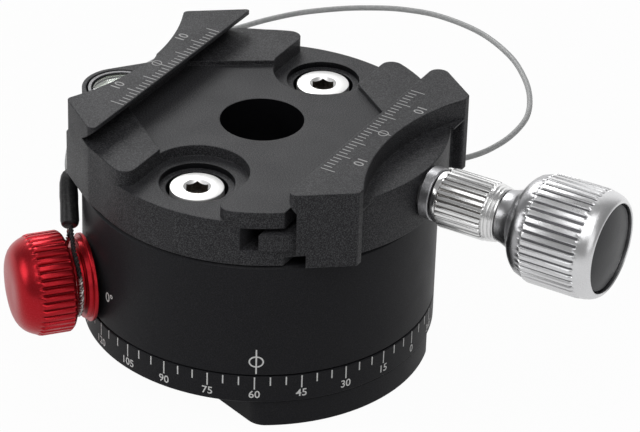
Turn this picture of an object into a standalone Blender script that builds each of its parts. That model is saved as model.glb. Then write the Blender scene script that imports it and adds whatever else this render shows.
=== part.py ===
"""Panoramic tripod head: an indexing rotator with a screw-knob quick-release clamp.

Units are metres, +Z is up. The origin lies on the pan axis, on the plane that the base stands on.
+X runs along the clamp knob's axis and +Y along the clamp's channel.
"""

import math

import bmesh
import bpy
from mathutils import Matrix, Vector

# Clearances and cutting allowances
SEAT_GAP = 0.0003
OVERRUN = 0.0020
WELD = 0.0000005

# Base: a scale band on a foot with two flat sides
BAND_RADIUS = 0.0300
BASE_HEIGHT = 0.01005
BAND_BOTTOM_Z = 0.00495
BAND_CHAMFER = 0.0003
FOOT_RADIUS = 0.0296
FOOT_HALF_WIDTH = 0.0190
FOOT_CORNER = 0.0035
FOOT_CHAMFER = 0.0006
FOOT_AZIMUTH = math.radians(-20.0)
SHOULDER_RADIUS = 0.0150
SHOULDER_TOP_Z = 0.0183
PIVOT_RADIUS = 0.0110
PIVOT_TOP_Z = 0.0266
PIVOT_BORE = 0.0053
BUSHING_RADIUS = 0.0070
BUSHING_BORE = 0.0042
BUSHING_LENGTH = 0.0080
BASE_SCREW_CIRCLE = 0.0175
BASE_SCREW_HEAD = 0.0023
BASE_SCREW_SHANK = 0.0014
BASE_SCREW_HEAD_HEIGHT = 0.0025
BASE_SCREW_SOCKET = 0.0012
BASE_SCREW_LENGTH = 0.0120
BASE_SCREWS = 3

# Index ring, washers and nut inside the drum
RING_RADIUS = 0.0240
RING_TOP_Z = 0.0180
DETENT_TOP_Z = 0.0135
DETENT_DEPTH = 0.0010
DETENT_RELIEF = 0.0003
DETENTS = 24
WASHER_RADIUS = 0.0146
LOWER_WASHER_HEIGHT = 0.0006
UPPER_WASHER_HEIGHT = 0.0007
NUT_RADIUS = 0.0150
NUT_HEIGHT = 0.0030
NUT_NOTCH_DEPTH = 0.0014
NUT_NOTCHES = 6

# Drum
DRUM_RADIUS = 0.0300
DRUM_TOP_Z = 0.0312
DRUM_CHAMFER = 0.0005
DRUM_CAVITY = 0.0253
WEB_HEIGHT = 0.0025
DRUM_WELL = 0.0165
SOCKET_AZIMUTHS = (math.radians(195.0), math.radians(170.0), math.radians(145.0), math.radians(120.0))

# Clamp body
BOTTOM_PLATE_HEIGHT = 0.0028
TUNNEL_HEIGHT = 0.0041
FLOOR_Z = 0.04135
LAND_RISE = 0.00085
JAW_TOP_Z = 0.04584
WEB_FACE_X = 0.0123
PLATE_EDGE_X = 0.0184
LEDGE_EDGE_X = 0.0202
LEDGE_NOTCH = 0.0015
CORNER_SIDE_X = 0.0274
CORNER_SIDE_Y = 0.0175
CORNER_TURN_X = 0.0266
CORNER_TURN_Y = 0.0184
CORNER_END_X = 0.0186
CORNER_END_Y = 0.0243
FIXED_LIP_X = 0.01735
FIXED_LIP_ROUND = 0.0012
FIXED_LIP_HEIGHT = 0.0007
DOVETAIL_DEPTH = 0.0035
JAW_ARC_RADIUS = 0.0400
FIXED_ARC_X = 0.02235
SHELF_Z = 0.0391
NOSE_X = 0.0278
NOSE_RADIUS = 0.0067
NOSE_FAIRING_X = 0.0282
NOSE_FAIRING_Y = 0.0103
CENTRE_HOLE = 0.00702
CENTRE_BORE = 0.0053
CENTRE_LEDGE_Z = 0.0365
SLOT_HALF_WIDTH = 0.0082
SLOT_RADIUS = 0.0084
SLOT_CENTRE_Y = 0.0201
SLOT_FLOOR_Z = 0.0394
SCREW_Y = 0.0204
COUNTERBORE_RADIUS = 0.0062
COUNTERBORE_DEPTH = 0.0010
SCREW_WELL_RADIUS = 0.0051
SCREW_HEAD_RADIUS = 0.00468
SCREW_HEAD_TOP_Z = 0.0387
SCREW_HEAD_HEIGHT = 0.0036
SCREW_HEAD_CHAMFER = 0.0003
SCREW_SHANK = 0.0024
SCREW_BOTTOM_Z = 0.0258
HEX_RADIUS = 0.0021
HEX_DEPTH = 0.0024
LAND_FRONT_NEAR = (0.0081, 0.0188)
LAND_FRONT_FAR = (0.0142, 0.0142)
LAND_BACK_NEAR = (0.0079, 0.0172)
LAND_BACK_FAR = (0.0141, 0.0130)
LAND_RIGHT_NEAR = (0.0081, 0.0179)
LAND_RIGHT_FAR = (0.0158, 0.0122)

# Moving jaw, drawn as the photograph shows it: opened from flush by this much
JAW_OPENED = 0.0019
JAW_RADIUS = 0.0297
JAW_BOTTOM_Z = 0.0323
TONGUE_EDGE_X = 0.0153
TONGUE_TOP_Z = 0.0376
SKIRT_X = 0.0224
JAW_WALL_X = 0.0211
MOVING_LIP_X = 0.0193
MOVING_LIP_HEIGHT = 0.0016
MOVING_ARC_X = 0.0246
JAW_SHELF_Z = 0.0422
PILLAR_INNER_Y = 0.0169
PILLAR_SIDE_X = 0.0291
PILLAR_TURN_Y = 0.0182
PILLAR_NEAR_X = 0.0286
PILLAR_NEAR_Y = 0.0190
PILLAR_MID_X = 0.0246
PILLAR_MID_Y = 0.0223
PILLAR_FAR_X = 0.0206
PILLAR_FAR_Y = 0.0250
LIP_CORNER = 0.0011
TONGUE_RELIEF = 0.0045
PIN_Y = 0.0120
PIN_Z = 0.03635
PIN_RADIUS = 0.0010
PIN_START_X = 0.0050
PIN_END_X = 0.0205
PIN_BORE_START_X = 0.0028
SPRING_POCKET = 0.0020
SPRING_START_X = 0.0076
SPRING_RADIUS = 0.0016
SPRING_WIRE = 0.0004
SPRING_TURNS = 5

# Clamp knob, along +X
CLAMP_AXIS_Z = 0.0377
SPINDLE_RADIUS = 0.0025
SPINDLE_START_X = 0.0089
SPINDLE_END_X = 0.0617
COLLAR_TUBE = 0.0035
COLLAR_TUBE_START_X = 0.0240
COLLAR_FLANGE_X = 0.0319
COLLAR_END_X = 0.0338
COLLAR_RADIUS = 0.00445
COLLAR_CHAMFER = 0.0003
SLEEVE_START_X = 0.0341
SLEEVE_KNURL_START_X = 0.0353
SLEEVE_KNURL_END_X = 0.0434
SLEEVE_END_X = 0.0456
SLEEVE_COLLAR_RADIUS = 0.0045
SLEEVE_RADIUS = 0.0050
SLEEVE_KNURL_DEPTH = 0.0003
SLEEVE_RIDGES = 32
SLEEVE_NECK_RADIUS = 0.00436
SLEEVE_HUB_RADIUS = 0.0034
SLEEVE_HUB_END_X = 0.0480
KNOB_KNURL_START_X = 0.0526
KNOB_KNURL_END_X = 0.0620
KNOB_RADIUS = 0.00915
KNOB_KNURL_DEPTH = 0.0004
KNOB_RIDGES = 44
KNOB_END_X = 0.0648
CAP_SEAT_X = 0.0620
CAP_RADIUS = 0.0072
CAP_RIM_X = 0.0642
CAP_TOP_X = 0.0650

# Index knob, pointing out of the drum at its own azimuth; distances run out from the pan axis
INDEX_AZIMUTH = math.radians(-131.0)
INDEX_Z = 0.0159
INDEX_FLANGE_S = 0.0303
INDEX_STEP_S = 0.0310
INDEX_NECK_START_S = 0.0319
INDEX_NECK_END_S = 0.0340
INDEX_FLANGE_RADIUS = 0.0075
INDEX_COLLAR_RADIUS = 0.0068
INDEX_NECK_RADIUS = 0.0053
INDEX_KNURL_START_S = 0.0345
INDEX_KNURL_END_S = 0.0406
INDEX_RADIUS = 0.0086
INDEX_KNURL_DEPTH = 0.00035
INDEX_RIDGES = 40
INDEX_FACE_S = 0.0440
PLUNGER_RADIUS = 0.0025
PLUNGER_START_S = 0.0256
PLUNGER_END_S = 0.0370
PLUNGER_BORE_END_S = 0.0352
PIN_TIP_RADIUS = 0.0012
PIN_TIP_ROUND = 0.0005
INDEX_PIN_END_S = 0.0296
INDEX_SPRING_RADIUS = 0.0010
INDEX_SPRING_WIRE = 0.0004
INDEX_SPRING_TURNS = 4

# Bubble level, in the nose of the fixed side
LEVEL_RADIUS = 0.0057
LEVEL_WALL = 0.0006
LEVEL_DEPTH = 0.0045
LEVEL_FLOOR = 0.0008
LENS_THICKNESS = 0.0012
LENS_DOME = 0.0002

# Lanyard of the index knob
WIRE_DIAMETER = 0.0010
LOOP_DIAMETER = 0.0009
LOOP_S = 0.0329
FERRULE_RADIUS = 0.0016
FERRULE_BOTTOM = (-0.02445, -0.02105, 0.02335)
FERRULE_TOP = (-0.02940, -0.01412, 0.02880)
ANCHOR_AZIMUTH = math.radians(49.5)
ANCHOR_Z = 0.0276
ANCHOR_RADIUS = 0.0018
ANCHOR_FLANGE_RADIUS = 0.0030
ANCHOR_FLANGE = 0.0008
ANCHOR_DEPTH = 0.0035
ANCHOR_REACH = 0.0035
WIRE_ROUTE = (
    (-0.02955, -0.01391, 0.02896), (-0.03045, -0.01262, 0.02976), (-0.03200, -0.00980, 0.03035),
    (-0.03420, -0.00540, 0.03045), (-0.03630, 0.00020, 0.03030), (-0.03760, 0.00650, 0.03000),
    (-0.03830, 0.01350, 0.02970), (-0.03820, 0.02100, 0.02930), (-0.03730, 0.02900, 0.02890),
    (-0.03560, 0.03700, 0.02860), (-0.03370, 0.04320, 0.02840), (-0.03190, 0.04760, 0.02820),
    (-0.02960, 0.05210, 0.02820), (-0.02600, 0.05750, 0.02820), (-0.02090, 0.06270, 0.02820),
    (-0.01620, 0.06620, 0.02820), (-0.01080, 0.06900, 0.02820), (-0.00370, 0.07040, 0.02820),
    (0.00550, 0.06880, 0.02820), (0.01400, 0.06400, 0.02820), (0.02010, 0.05800, 0.02820),
    (0.02430, 0.05190, 0.02820), (0.02700, 0.04530, 0.02820), (0.02760, 0.03820, 0.02820),
    (0.02650, 0.03250, 0.02800), (0.02457, 0.02877, 0.02775), (0.02195, 0.02570, 0.02760),
)
WIRE_POINTS = 78

# Facets of round forms
BIG_SIDES = 72
MID_SIDES = 32
SMALL_SIDES = 20
TINY_SIDES = 12
HEX_SIDES = 6
CURL_POINTS = 8
MILLIMETRES = 1000

# Heights that follow from the sizes above
BAND_TOP_Z = BASE_HEIGHT
DRUM_BOTTOM_Z = BASE_HEIGHT + SEAT_GAP
WEB_BOTTOM_Z = SHOULDER_TOP_Z + LOWER_WASHER_HEIGHT + 2 * SEAT_GAP
WEB_TOP_Z = WEB_BOTTOM_Z + WEB_HEIGHT
NUT_BOTTOM_Z = WEB_TOP_Z + UPPER_WASHER_HEIGHT + 2 * SEAT_GAP
BODY_BOTTOM_Z = DRUM_TOP_Z + SEAT_GAP
TUNNEL_BOTTOM_Z = BODY_BOTTOM_Z + BOTTOM_PLATE_HEIGHT
TUNNEL_TOP_Z = TUNNEL_BOTTOM_Z + TUNNEL_HEIGHT
LAND_Z = FLOOR_Z + LAND_RISE
TONGUE_BOTTOM_Z = TUNNEL_BOTTOM_Z + SEAT_GAP
PIN_BORE = PIN_RADIUS + SEAT_GAP
THREAD_BORE = SPINDLE_RADIUS + SEAT_GAP
PLUNGER_BORE = PLUNGER_RADIUS + SEAT_GAP
TALL = JAW_TOP_Z + OVERRUN
FAR = 2 * BAND_RADIUS


def finish(name, colour, metallic, roughness):
    """Return a material with one plain surface."""
    material = bpy.data.materials.new(name)
    material.use_nodes = True
    shader = material.node_tree.nodes["Principled BSDF"]
    shader.inputs["Base Color"].default_value = (*colour, 1.0)
    shader.inputs["Metallic"].default_value = metallic
    shader.inputs["Roughness"].default_value = roughness
    return material


def black_anodised():
    return finish("black_anodised", (0.030, 0.031, 0.034), 0.6, 0.45)


def red_anodised():
    return finish("red_anodised", (0.55, 0.02, 0.03), 0.8, 0.30)


def satin_aluminium():
    return finish("satin_aluminium", (0.72, 0.72, 0.73), 1.0, 0.32)


def polished_chrome():
    return finish("polished_chrome", (0.84, 0.84, 0.85), 1.0, 0.10)


def bright_steel():
    return finish("bright_steel", (0.78, 0.78, 0.79), 1.0, 0.20)


def dark_steel():
    return finish("dark_steel", (0.35, 0.35, 0.36), 1.0, 0.35)


def brass():
    return finish("brass", (0.78, 0.60, 0.30), 1.0, 0.35)


def black_plastic():
    return finish("black_plastic", (0.02, 0.02, 0.02), 0.0, 0.40)


def coated_wire():
    return finish("coated_wire", (0.55, 0.56, 0.58), 0.4, 0.40)


def level_glass():
    return finish("level_glass", (0.80, 0.86, 0.78), 0.0, 0.08)


def level_fluid():
    return finish("level_fluid", (0.62, 0.80, 0.30), 0.0, 0.15)


def clear_scene():
    """Remove every object, so the script can run again in an open file."""
    for item in list(bpy.data.objects):
        bpy.data.objects.remove(item, do_unlink=True)


def axis_empty(name, location, rotation):
    """Return an empty that stands on a joint's axis."""
    empty = bpy.data.objects.new(name, None)
    empty.location = location
    empty.rotation_euler = rotation
    bpy.context.scene.collection.objects.link(empty)
    return empty


def add_object(name, bm, material=None, parent=None):
    """Turn a bmesh into an object on the given parent."""
    bmesh.ops.recalc_face_normals(bm, faces=bm.faces)
    mesh = bpy.data.meshes.new(name)
    bm.to_mesh(mesh)
    bm.free()
    mesh.shade_smooth()
    mesh.set_sharp_from_angle(angle=math.radians(30.0))
    item = bpy.data.objects.new(name, mesh)
    bpy.context.scene.collection.objects.link(item)
    item.parent = parent
    if material is not None:
        mesh.materials.append(material)
    return item


def combine(target, tool, operation):
    """Give the target a Boolean with a hidden tool object."""
    tool.hide_render = True
    tool.display_type = "WIRE"
    modifier = target.modifiers.new(tool.name, "BOOLEAN")
    modifier.operation = operation
    modifier.object = tool
    modifier.solver = "EXACT"


def cut(target, tool):
    combine(target, tool, "DIFFERENCE")


def join(target, tool):
    combine(target, tool, "UNION")


def turned(profile, sides):
    """Spin a profile of (radius, height) points about Z; one that ends on the axis is left open there."""
    bm = bmesh.new()
    points = [bm.verts.new((radius, 0.0, height)) for radius, height in profile]
    on_axis = profile[0][0] == 0 and profile[-1][0] == 0
    pairs = zip(points, points[1:] if on_axis else points[1:] + points[:1])
    edges = [bm.edges.new(pair) for pair in pairs]
    bmesh.ops.spin(bm, geom=points + edges, cent=(0, 0, 0), axis=(0, 0, 1), angle=math.tau,
                   steps=sides, use_merge=True)
    bmesh.ops.remove_doubles(bm, verts=bm.verts, dist=WELD)
    bmesh.ops.dissolve_degenerate(bm, edges=bm.edges, dist=WELD)
    return bm


def tube_profile(inner, outer, bottom, top):
    """Return the closed profile of a plain ring."""
    return [(outer, top), (outer, bottom), (inner, bottom), (inner, top)]


def rod_profile(radius, bottom, top):
    """Return the open profile of a plain rod."""
    return [(0, top), (radius, top), (radius, bottom), (0, bottom)]


def extruded(outline, bottom, top):
    """Raise a flat outline between two heights."""
    bm = bmesh.new()
    face = bm.faces.new([bm.verts.new((x, y, bottom)) for x, y in outline])
    raised = bmesh.ops.extrude_face_region(bm, geom=[face])
    moved = [item for item in raised["geom"] if isinstance(item, bmesh.types.BMVert)]
    bmesh.ops.translate(bm, verts=moved, vec=(0, 0, top - bottom))
    return bm


def box(low, high):
    """Return a block between two corners."""
    return extruded([(low[0], low[1]), (high[0], low[1]), (high[0], high[1]), (low[0], high[1])],
                    low[2], high[2])


def arc(centre, radius, start, end, steps):
    """Return points on an arc, ends included."""
    turn = (end - start) / steps
    angles = [start + turn * step for step in range(steps + 1)]
    return [(centre[0] + radius * math.cos(angle), centre[1] + radius * math.sin(angle)) for angle in angles]


def mirrored(half):
    """Complete an outline whose half lies at y > 0 and runs from one end of the X axis to the other."""
    return half + [(x, -y) for x, y in reversed(half) if y > WELD]


def bridge(bm, one, other):
    """Join two loops of points, with four-sided faces where their counts match and triangles where not."""
    if len(one) == len(other):
        for k, point in enumerate(one):
            bm.faces.new((one[k - 1], point, other[k], other[k - 1]))
        return
    i = 0
    j = 0
    while i < len(one) or j < len(other):
        here, there = one[i % len(one)], other[j % len(other)]
        if (i + 1) * len(other) <= (j + 1) * len(one):
            i += 1
            bm.faces.new((here, one[i % len(one)], there))
        else:
            j += 1
            bm.faces.new((here, other[j % len(other)], there))


def lofted(loops, closed):
    """Bridge loops of points one to the next; closed joins the last to the first, or else both get a cap."""
    bm = bmesh.new()
    rims = [[bm.verts.new(point) for point in loop] for loop in loops]
    for one, other in zip(rims, rims[1:]):
        bridge(bm, one, other)
    if closed:
        bridge(bm, rims[-1], rims[0])
    else:
        bm.faces.new(rims[0])
        bm.faces.new(rims[-1])
    return bm


def ring(radius, height, count):
    """Return a plain loop of points about Z."""
    return [(radius * math.cos(math.tau * k / count), radius * math.sin(math.tau * k / count), height)
            for k in range(count)]


def knurl_ring(radius, depth, height, ridges):
    """Return a loop whose ridges have flat crests and one sharp valley each."""
    crest_shares = (0.26, 0.74)
    points = []
    for k in range(ridges):
        for share, reach in ((0, radius - depth), (crest_shares[0], radius), (crest_shares[1], radius)):
            angle = math.tau * (k + share) / ridges
            points.append((reach * math.cos(angle), reach * math.sin(angle), height))
    return points


def helix(start, axis, side, radius, length, turns):
    """Return the points of a round coil that runs from start along axis."""
    across = axis.cross(side)
    count = turns * CURL_POINTS
    points = []
    for k in range(count + 1):
        angle = math.tau * k / CURL_POINTS
        spoke = side * math.cos(angle) + across * math.sin(angle)
        points.append(start + axis * (length * k / count) + radius * spoke)
    return points


def smooth_route(route, count):
    """Return count points, evenly spread by share, on a Catmull-Rom curve through the route."""
    points = [Vector(point) for point in route]
    padded = [2 * points[0] - points[1]] + points + [2 * points[-1] - points[-2]]
    result = []
    for k in range(count):
        place = k * (len(points) - 1) / (count - 1)
        i = min(int(place), len(points) - 2)
        t = place - i
        a, b, c, d = padded[i:i + 4]
        result.append(0.5 * ((2 * b) + (c - a) * t + (2 * a - 5 * b + 4 * c - d) * t ** 2
                             + (3 * b - a - 3 * c + d) * t ** 3))
    return result


def tube(name, points, diameter, resolution, material, parent=None):
    """Return a round tube along a polyline, with filled caps."""
    curve = bpy.data.curves.new(name, "CURVE")
    curve.dimensions = "3D"
    curve.bevel_depth = diameter / 2
    curve.bevel_resolution = resolution
    curve.use_fill_caps = True
    spline = curve.splines.new("POLY")
    spline.points.add(len(points) - 1)
    for target, point in zip(spline.points, points):
        target.co = (*point, 1.0)
    curve.materials.append(material)
    item = bpy.data.objects.new(name, curve)
    bpy.context.scene.collection.objects.link(item)
    item.parent = parent
    return item


def print_self_gap(name, turns, length, wire):
    """Print the least gap between neighbouring curls of a spring."""
    print(name, "least gap between curls in mm:", round((length / turns - wire) * MILLIMETRES, 3))


def foot_outline():
    """Outline of the foot: a disc with two flat sides and rounded corners."""
    centre_y = FOOT_HALF_WIDTH - FOOT_CORNER
    centre_x = math.sqrt((FOOT_RADIUS - FOOT_CORNER) ** 2 - centre_y ** 2)
    corner_angle = math.atan2(centre_y, centre_x)
    side = arc((0, 0), FOOT_RADIUS, 0, corner_angle, 12)
    corner = arc((centre_x, centre_y), FOOT_CORNER, corner_angle, math.pi / 2, 6)
    quarter = side + corner[1:]
    half = quarter + [(-x, y) for x, y in reversed(quarter)]
    outline = mirrored(half)
    turn = Matrix.Rotation(FOOT_AZIMUTH, 2)
    return [tuple(turn @ Vector(point)) for point in outline]


def build_base(materials):
    """Base: band, foot, shoulder and pivot in one piece, bored for the bushing and its screws."""
    band = [(0, BAND_TOP_Z), (BAND_RADIUS - BAND_CHAMFER, BAND_TOP_Z),
            (BAND_RADIUS, BAND_TOP_Z - BAND_CHAMFER), (BAND_RADIUS, BAND_BOTTOM_Z + BAND_CHAMFER),
            (BAND_RADIUS - BAND_CHAMFER, BAND_BOTTOM_Z), (0, BAND_BOTTOM_Z)]
    base = add_object("base_plate", turned(band, BIG_SIDES), materials["black"])
    joint_z = BAND_BOTTOM_Z + OVERRUN
    pivot = [(0, PIVOT_TOP_Z), (PIVOT_RADIUS - BAND_CHAMFER, PIVOT_TOP_Z),
             (PIVOT_RADIUS, PIVOT_TOP_Z - BAND_CHAMFER), (PIVOT_RADIUS, SHOULDER_TOP_Z),
             (SHOULDER_RADIUS, SHOULDER_TOP_Z), (SHOULDER_RADIUS, joint_z), (0, joint_z)]
    join(base, add_object("pivot_form", turned(pivot, MID_SIDES)))
    outline = foot_outline()
    shrink = (FOOT_RADIUS - FOOT_CHAMFER) / FOOT_RADIUS
    loops = [[(x * shrink, y * shrink, 0) for x, y in outline], [(x, y, FOOT_CHAMFER) for x, y in outline],
             [(x, y, BAND_BOTTOM_Z + BAND_CHAMFER) for x, y in outline]]
    join(base, add_object("foot_form", lofted(loops, False)))
    seat_radius = BUSHING_RADIUS + SEAT_GAP
    seat_top = BUSHING_LENGTH + 2 * SEAT_GAP
    bore = [(0, PIVOT_TOP_Z + OVERRUN), (PIVOT_BORE, PIVOT_TOP_Z + OVERRUN), (PIVOT_BORE, seat_top),
            (seat_radius, seat_top), (seat_radius, -OVERRUN), (0, -OVERRUN)]
    cut(base, add_object("base_bore", turned(bore, MID_SIDES)))
    shank = BASE_SCREW_SHANK + SEAT_GAP
    head = BASE_SCREW_HEAD + SEAT_GAP
    head_seat = BASE_SCREW_HEAD_HEIGHT + 2 * SEAT_GAP
    screw_bore = [(0, BAND_TOP_Z + OVERRUN), (shank, BAND_TOP_Z + OVERRUN), (shank, head_seat),
                  (head, head_seat), (head, -OVERRUN), (0, -OVERRUN)]
    for place in base_screw_places():
        tool = add_object("base_screw_bore", turned(screw_bore, TINY_SIDES))
        tool.location = place
        cut(base, tool)
    return base


def base_screw_places():
    """Places of the screws that hold the index ring to the base."""
    start = FOOT_AZIMUTH
    places = arc((0, 0), BASE_SCREW_CIRCLE, start, start + math.tau, BASE_SCREWS)
    return [(x, y, 0) for x, y in places[:-1]]


def build_bushing(materials):
    """Threaded bushing that takes the tripod's screw."""
    profile = [(BUSHING_RADIUS, BUSHING_LENGTH + SEAT_GAP), (BUSHING_RADIUS, SEAT_GAP),
               (BUSHING_BORE + BAND_CHAMFER, SEAT_GAP), (BUSHING_BORE, SEAT_GAP + BAND_CHAMFER),
               (BUSHING_BORE, BUSHING_LENGTH + SEAT_GAP)]
    return add_object("tripod_bushing", turned(profile, SMALL_SIDES), materials["steel"])


def build_base_screws(materials):
    """Cap screws under the foot."""
    head_bottom = SEAT_GAP
    head_top = head_bottom + BASE_SCREW_HEAD_HEIGHT
    profile = [(0, BASE_SCREW_LENGTH), (BASE_SCREW_SHANK, BASE_SCREW_LENGTH), (BASE_SCREW_SHANK, head_top),
               (BASE_SCREW_HEAD, head_top), (BASE_SCREW_HEAD, head_bottom), (BASE_SCREW_SOCKET, head_bottom),
               (BASE_SCREW_SOCKET, head_bottom + BASE_SCREW_SOCKET), (0, head_bottom + BASE_SCREW_SOCKET)]
    for number, place in enumerate(base_screw_places(), start=1):
        screw = add_object(f"base_screw_{number}", turned(profile, TINY_SIDES), materials["dark_steel"])
        screw.location = place


def notched_ring(radius, depth, height, notches, points_per_notch):
    """Return a loop with evenly spaced notches, one low point in each group of points."""
    count = notches * points_per_notch
    points = []
    for k in range(count):
        reach = radius - depth if k % points_per_notch == 0 else radius
        angle = math.tau * k / count
        points.append((reach * math.cos(angle), reach * math.sin(angle), height))
    return points


def build_index_ring(materials):
    """Index ring: a row of detents below a plain band that the pin rides on."""
    bottom = DRUM_BOTTOM_Z
    inner = SHOULDER_RADIUS + SEAT_GAP
    count = DETENTS * 3
    crest = RING_RADIUS - DETENT_RELIEF
    loops = [ring(inner, bottom, MID_SIDES), notched_ring(crest, DETENT_DEPTH, bottom, DETENTS, 3),
             notched_ring(crest, DETENT_DEPTH, DETENT_TOP_Z, DETENTS, 3),
             ring(RING_RADIUS, DETENT_TOP_Z, count), ring(RING_RADIUS, RING_TOP_Z, count),
             ring(inner, RING_TOP_Z, MID_SIDES)]
    index_ring = add_object("index_ring", lofted(loops, True), materials["brass"])
    hole = rod_profile(BASE_SCREW_SHANK + SEAT_GAP, bottom - OVERRUN, BASE_SCREW_LENGTH + SEAT_GAP)
    for place in base_screw_places():
        tool = add_object("ring_screw_bore", turned(hole, TINY_SIDES))
        tool.location = place
        cut(index_ring, tool)
    return index_ring


def build_bearings(materials):
    """Slide washers under and over the drum's web, and the nut that holds the stack."""
    inner = PIVOT_RADIUS + SEAT_GAP
    lower_bottom = SHOULDER_TOP_Z + SEAT_GAP
    lower = tube_profile(inner, WASHER_RADIUS, lower_bottom, lower_bottom + LOWER_WASHER_HEIGHT)
    add_object("lower_washer", turned(lower, SMALL_SIDES), materials["brass"])
    upper_bottom = WEB_TOP_Z + SEAT_GAP
    upper = tube_profile(inner, WASHER_RADIUS, upper_bottom, upper_bottom + UPPER_WASHER_HEIGHT)
    add_object("upper_washer", turned(upper, SMALL_SIDES), materials["brass"])
    top = NUT_BOTTOM_Z + NUT_HEIGHT
    loops = [ring(inner, NUT_BOTTOM_Z, SMALL_SIDES),
             notched_ring(NUT_RADIUS, NUT_NOTCH_DEPTH, NUT_BOTTOM_Z, NUT_NOTCHES, 4),
             notched_ring(NUT_RADIUS, NUT_NOTCH_DEPTH, top, NUT_NOTCHES, 4), ring(inner, top, SMALL_SIDES)]
    add_object("retaining_nut", lofted(loops, True), materials["steel"])


def radial_tool(name, azimuth, height, radius, start, end, sides):
    """Return a round cutter that lies along a radius of the drum."""
    tool = add_object(name, turned(rod_profile(radius, start, end), sides))
    tool.location = (0, 0, height)
    tool.rotation_euler = (0, math.pi / 2, azimuth)
    return tool


def build_drum(materials):
    """Drum: turned shell with a web on the pivot, one used and four spare knob sockets."""
    pivot = PIVOT_RADIUS + SEAT_GAP
    shell = [(0, DRUM_TOP_Z), (DRUM_RADIUS - DRUM_CHAMFER, DRUM_TOP_Z),
             (DRUM_RADIUS, DRUM_TOP_Z - DRUM_CHAMFER), (DRUM_RADIUS, DRUM_BOTTOM_Z + BAND_CHAMFER),
             (DRUM_RADIUS - BAND_CHAMFER, DRUM_BOTTOM_Z), (0, DRUM_BOTTOM_Z)]
    drum = add_object("drum_housing", turned(shell, BIG_SIDES), materials["black"])
    below = DRUM_BOTTOM_Z - OVERRUN
    inside = [(0, TALL), (DRUM_WELL, TALL), (DRUM_WELL, WEB_TOP_Z), (pivot, WEB_TOP_Z), (pivot, WEB_BOTTOM_Z),
              (DRUM_CAVITY, WEB_BOTTOM_Z), (DRUM_CAVITY, below), (0, below)]
    cut(drum, add_object("drum_inside", turned(inside, MID_SIDES)))
    reach = DRUM_RADIUS + OVERRUN
    start = RING_RADIUS + SEAT_GAP
    for azimuth in (INDEX_AZIMUTH, *SOCKET_AZIMUTHS):
        cut(drum, radial_tool("knob_socket", azimuth, INDEX_Z, PLUNGER_BORE, start, reach, SMALL_SIDES))
    cut(drum, radial_tool("anchor_bore", ANCHOR_AZIMUTH, ANCHOR_Z, ANCHOR_RADIUS + SEAT_GAP,
                          DRUM_RADIUS - ANCHOR_DEPTH - SEAT_GAP, reach, TINY_SIDES))
    hole = rod_profile(SCREW_SHANK + SEAT_GAP, SCREW_BOTTOM_Z - SEAT_GAP, TALL)
    for side in (-1, 1):
        tool = add_object("clamp_screw_bore", turned(hole, SMALL_SIDES))
        tool.location = (0, side * SCREW_Y, 0)
        cut(drum, tool)
    return drum


def body_outline():
    """Plan of the clamp body: the drum's circle, two square corners and the level's nose."""
    start = math.acos(LEDGE_EDGE_X / DRUM_RADIUS)
    corner_start = math.pi - math.acos((CORNER_END_X - BAND_CHAMFER) / DRUM_RADIUS)
    side_y = math.sqrt(DRUM_RADIUS ** 2 - CORNER_SIDE_X ** 2)
    half = arc((0, 0), DRUM_RADIUS, start, corner_start, 16)
    half += [(-CORNER_END_X, CORNER_END_Y), (-CORNER_TURN_X, CORNER_TURN_Y), (-CORNER_SIDE_X, CORNER_SIDE_Y),
             (-CORNER_SIDE_X, side_y), (-NOSE_FAIRING_X, NOSE_FAIRING_Y)]
    half += arc((-NOSE_X, 0), NOSE_RADIUS, math.radians(140.0), math.pi, 5)
    return mirrored(half)


def fixed_jaw_outline():
    """Plan of the fixed jaw above the lands, with rounded inner corners."""
    inner_y = CORNER_END_Y - FIXED_LIP_ROUND
    half = [(-FIXED_LIP_X, 0), (-FIXED_LIP_X, inner_y - BAND_CHAMFER)]
    half += arc((-FIXED_LIP_X - FIXED_LIP_ROUND, inner_y), FIXED_LIP_ROUND, 0, math.radians(120.0), 5)
    half += [(-CORNER_TURN_X, CORNER_TURN_Y), (-CORNER_SIDE_X, CORNER_SIDE_Y), (-CORNER_SIDE_X, 0)]
    return mirrored(half)


def prism_along_y(name, outline):
    """Return a bar along Y with an outline in (x, z)."""
    bm = bmesh.new()
    face = bm.faces.new([bm.verts.new((x, -FAR, z)) for x, z in outline])
    raised = bmesh.ops.extrude_face_region(bm, geom=[face])
    moved = [item for item in raised["geom"] if isinstance(item, bmesh.types.BMVert)]
    bmesh.ops.translate(bm, verts=moved, vec=(0, 2 * FAR, 0))
    return add_object(name, bm)


def rod_along_x(name, y, z, radius, start, end, sides):
    """Return a round bar along X, used as a cutter or as a piece."""
    tool = add_object(name, turned(rod_profile(radius, start, end), sides))
    tool.location = (0, y, z)
    tool.rotation_euler = (0, math.pi / 2, 0)
    return tool


def round_cutter(name, x, y, radius, bottom, top, sides):
    """Return an upright round cutter."""
    tool = add_object(name, turned(rod_profile(radius, bottom, top), sides))
    tool.location = (x, y, 0)
    return tool


def on_line(near, far, x):
    """Return the y at which the line through two points reaches x."""
    return near[1] + (far[1] - near[1]) * (x - near[0]) / (far[0] - near[0])


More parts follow.
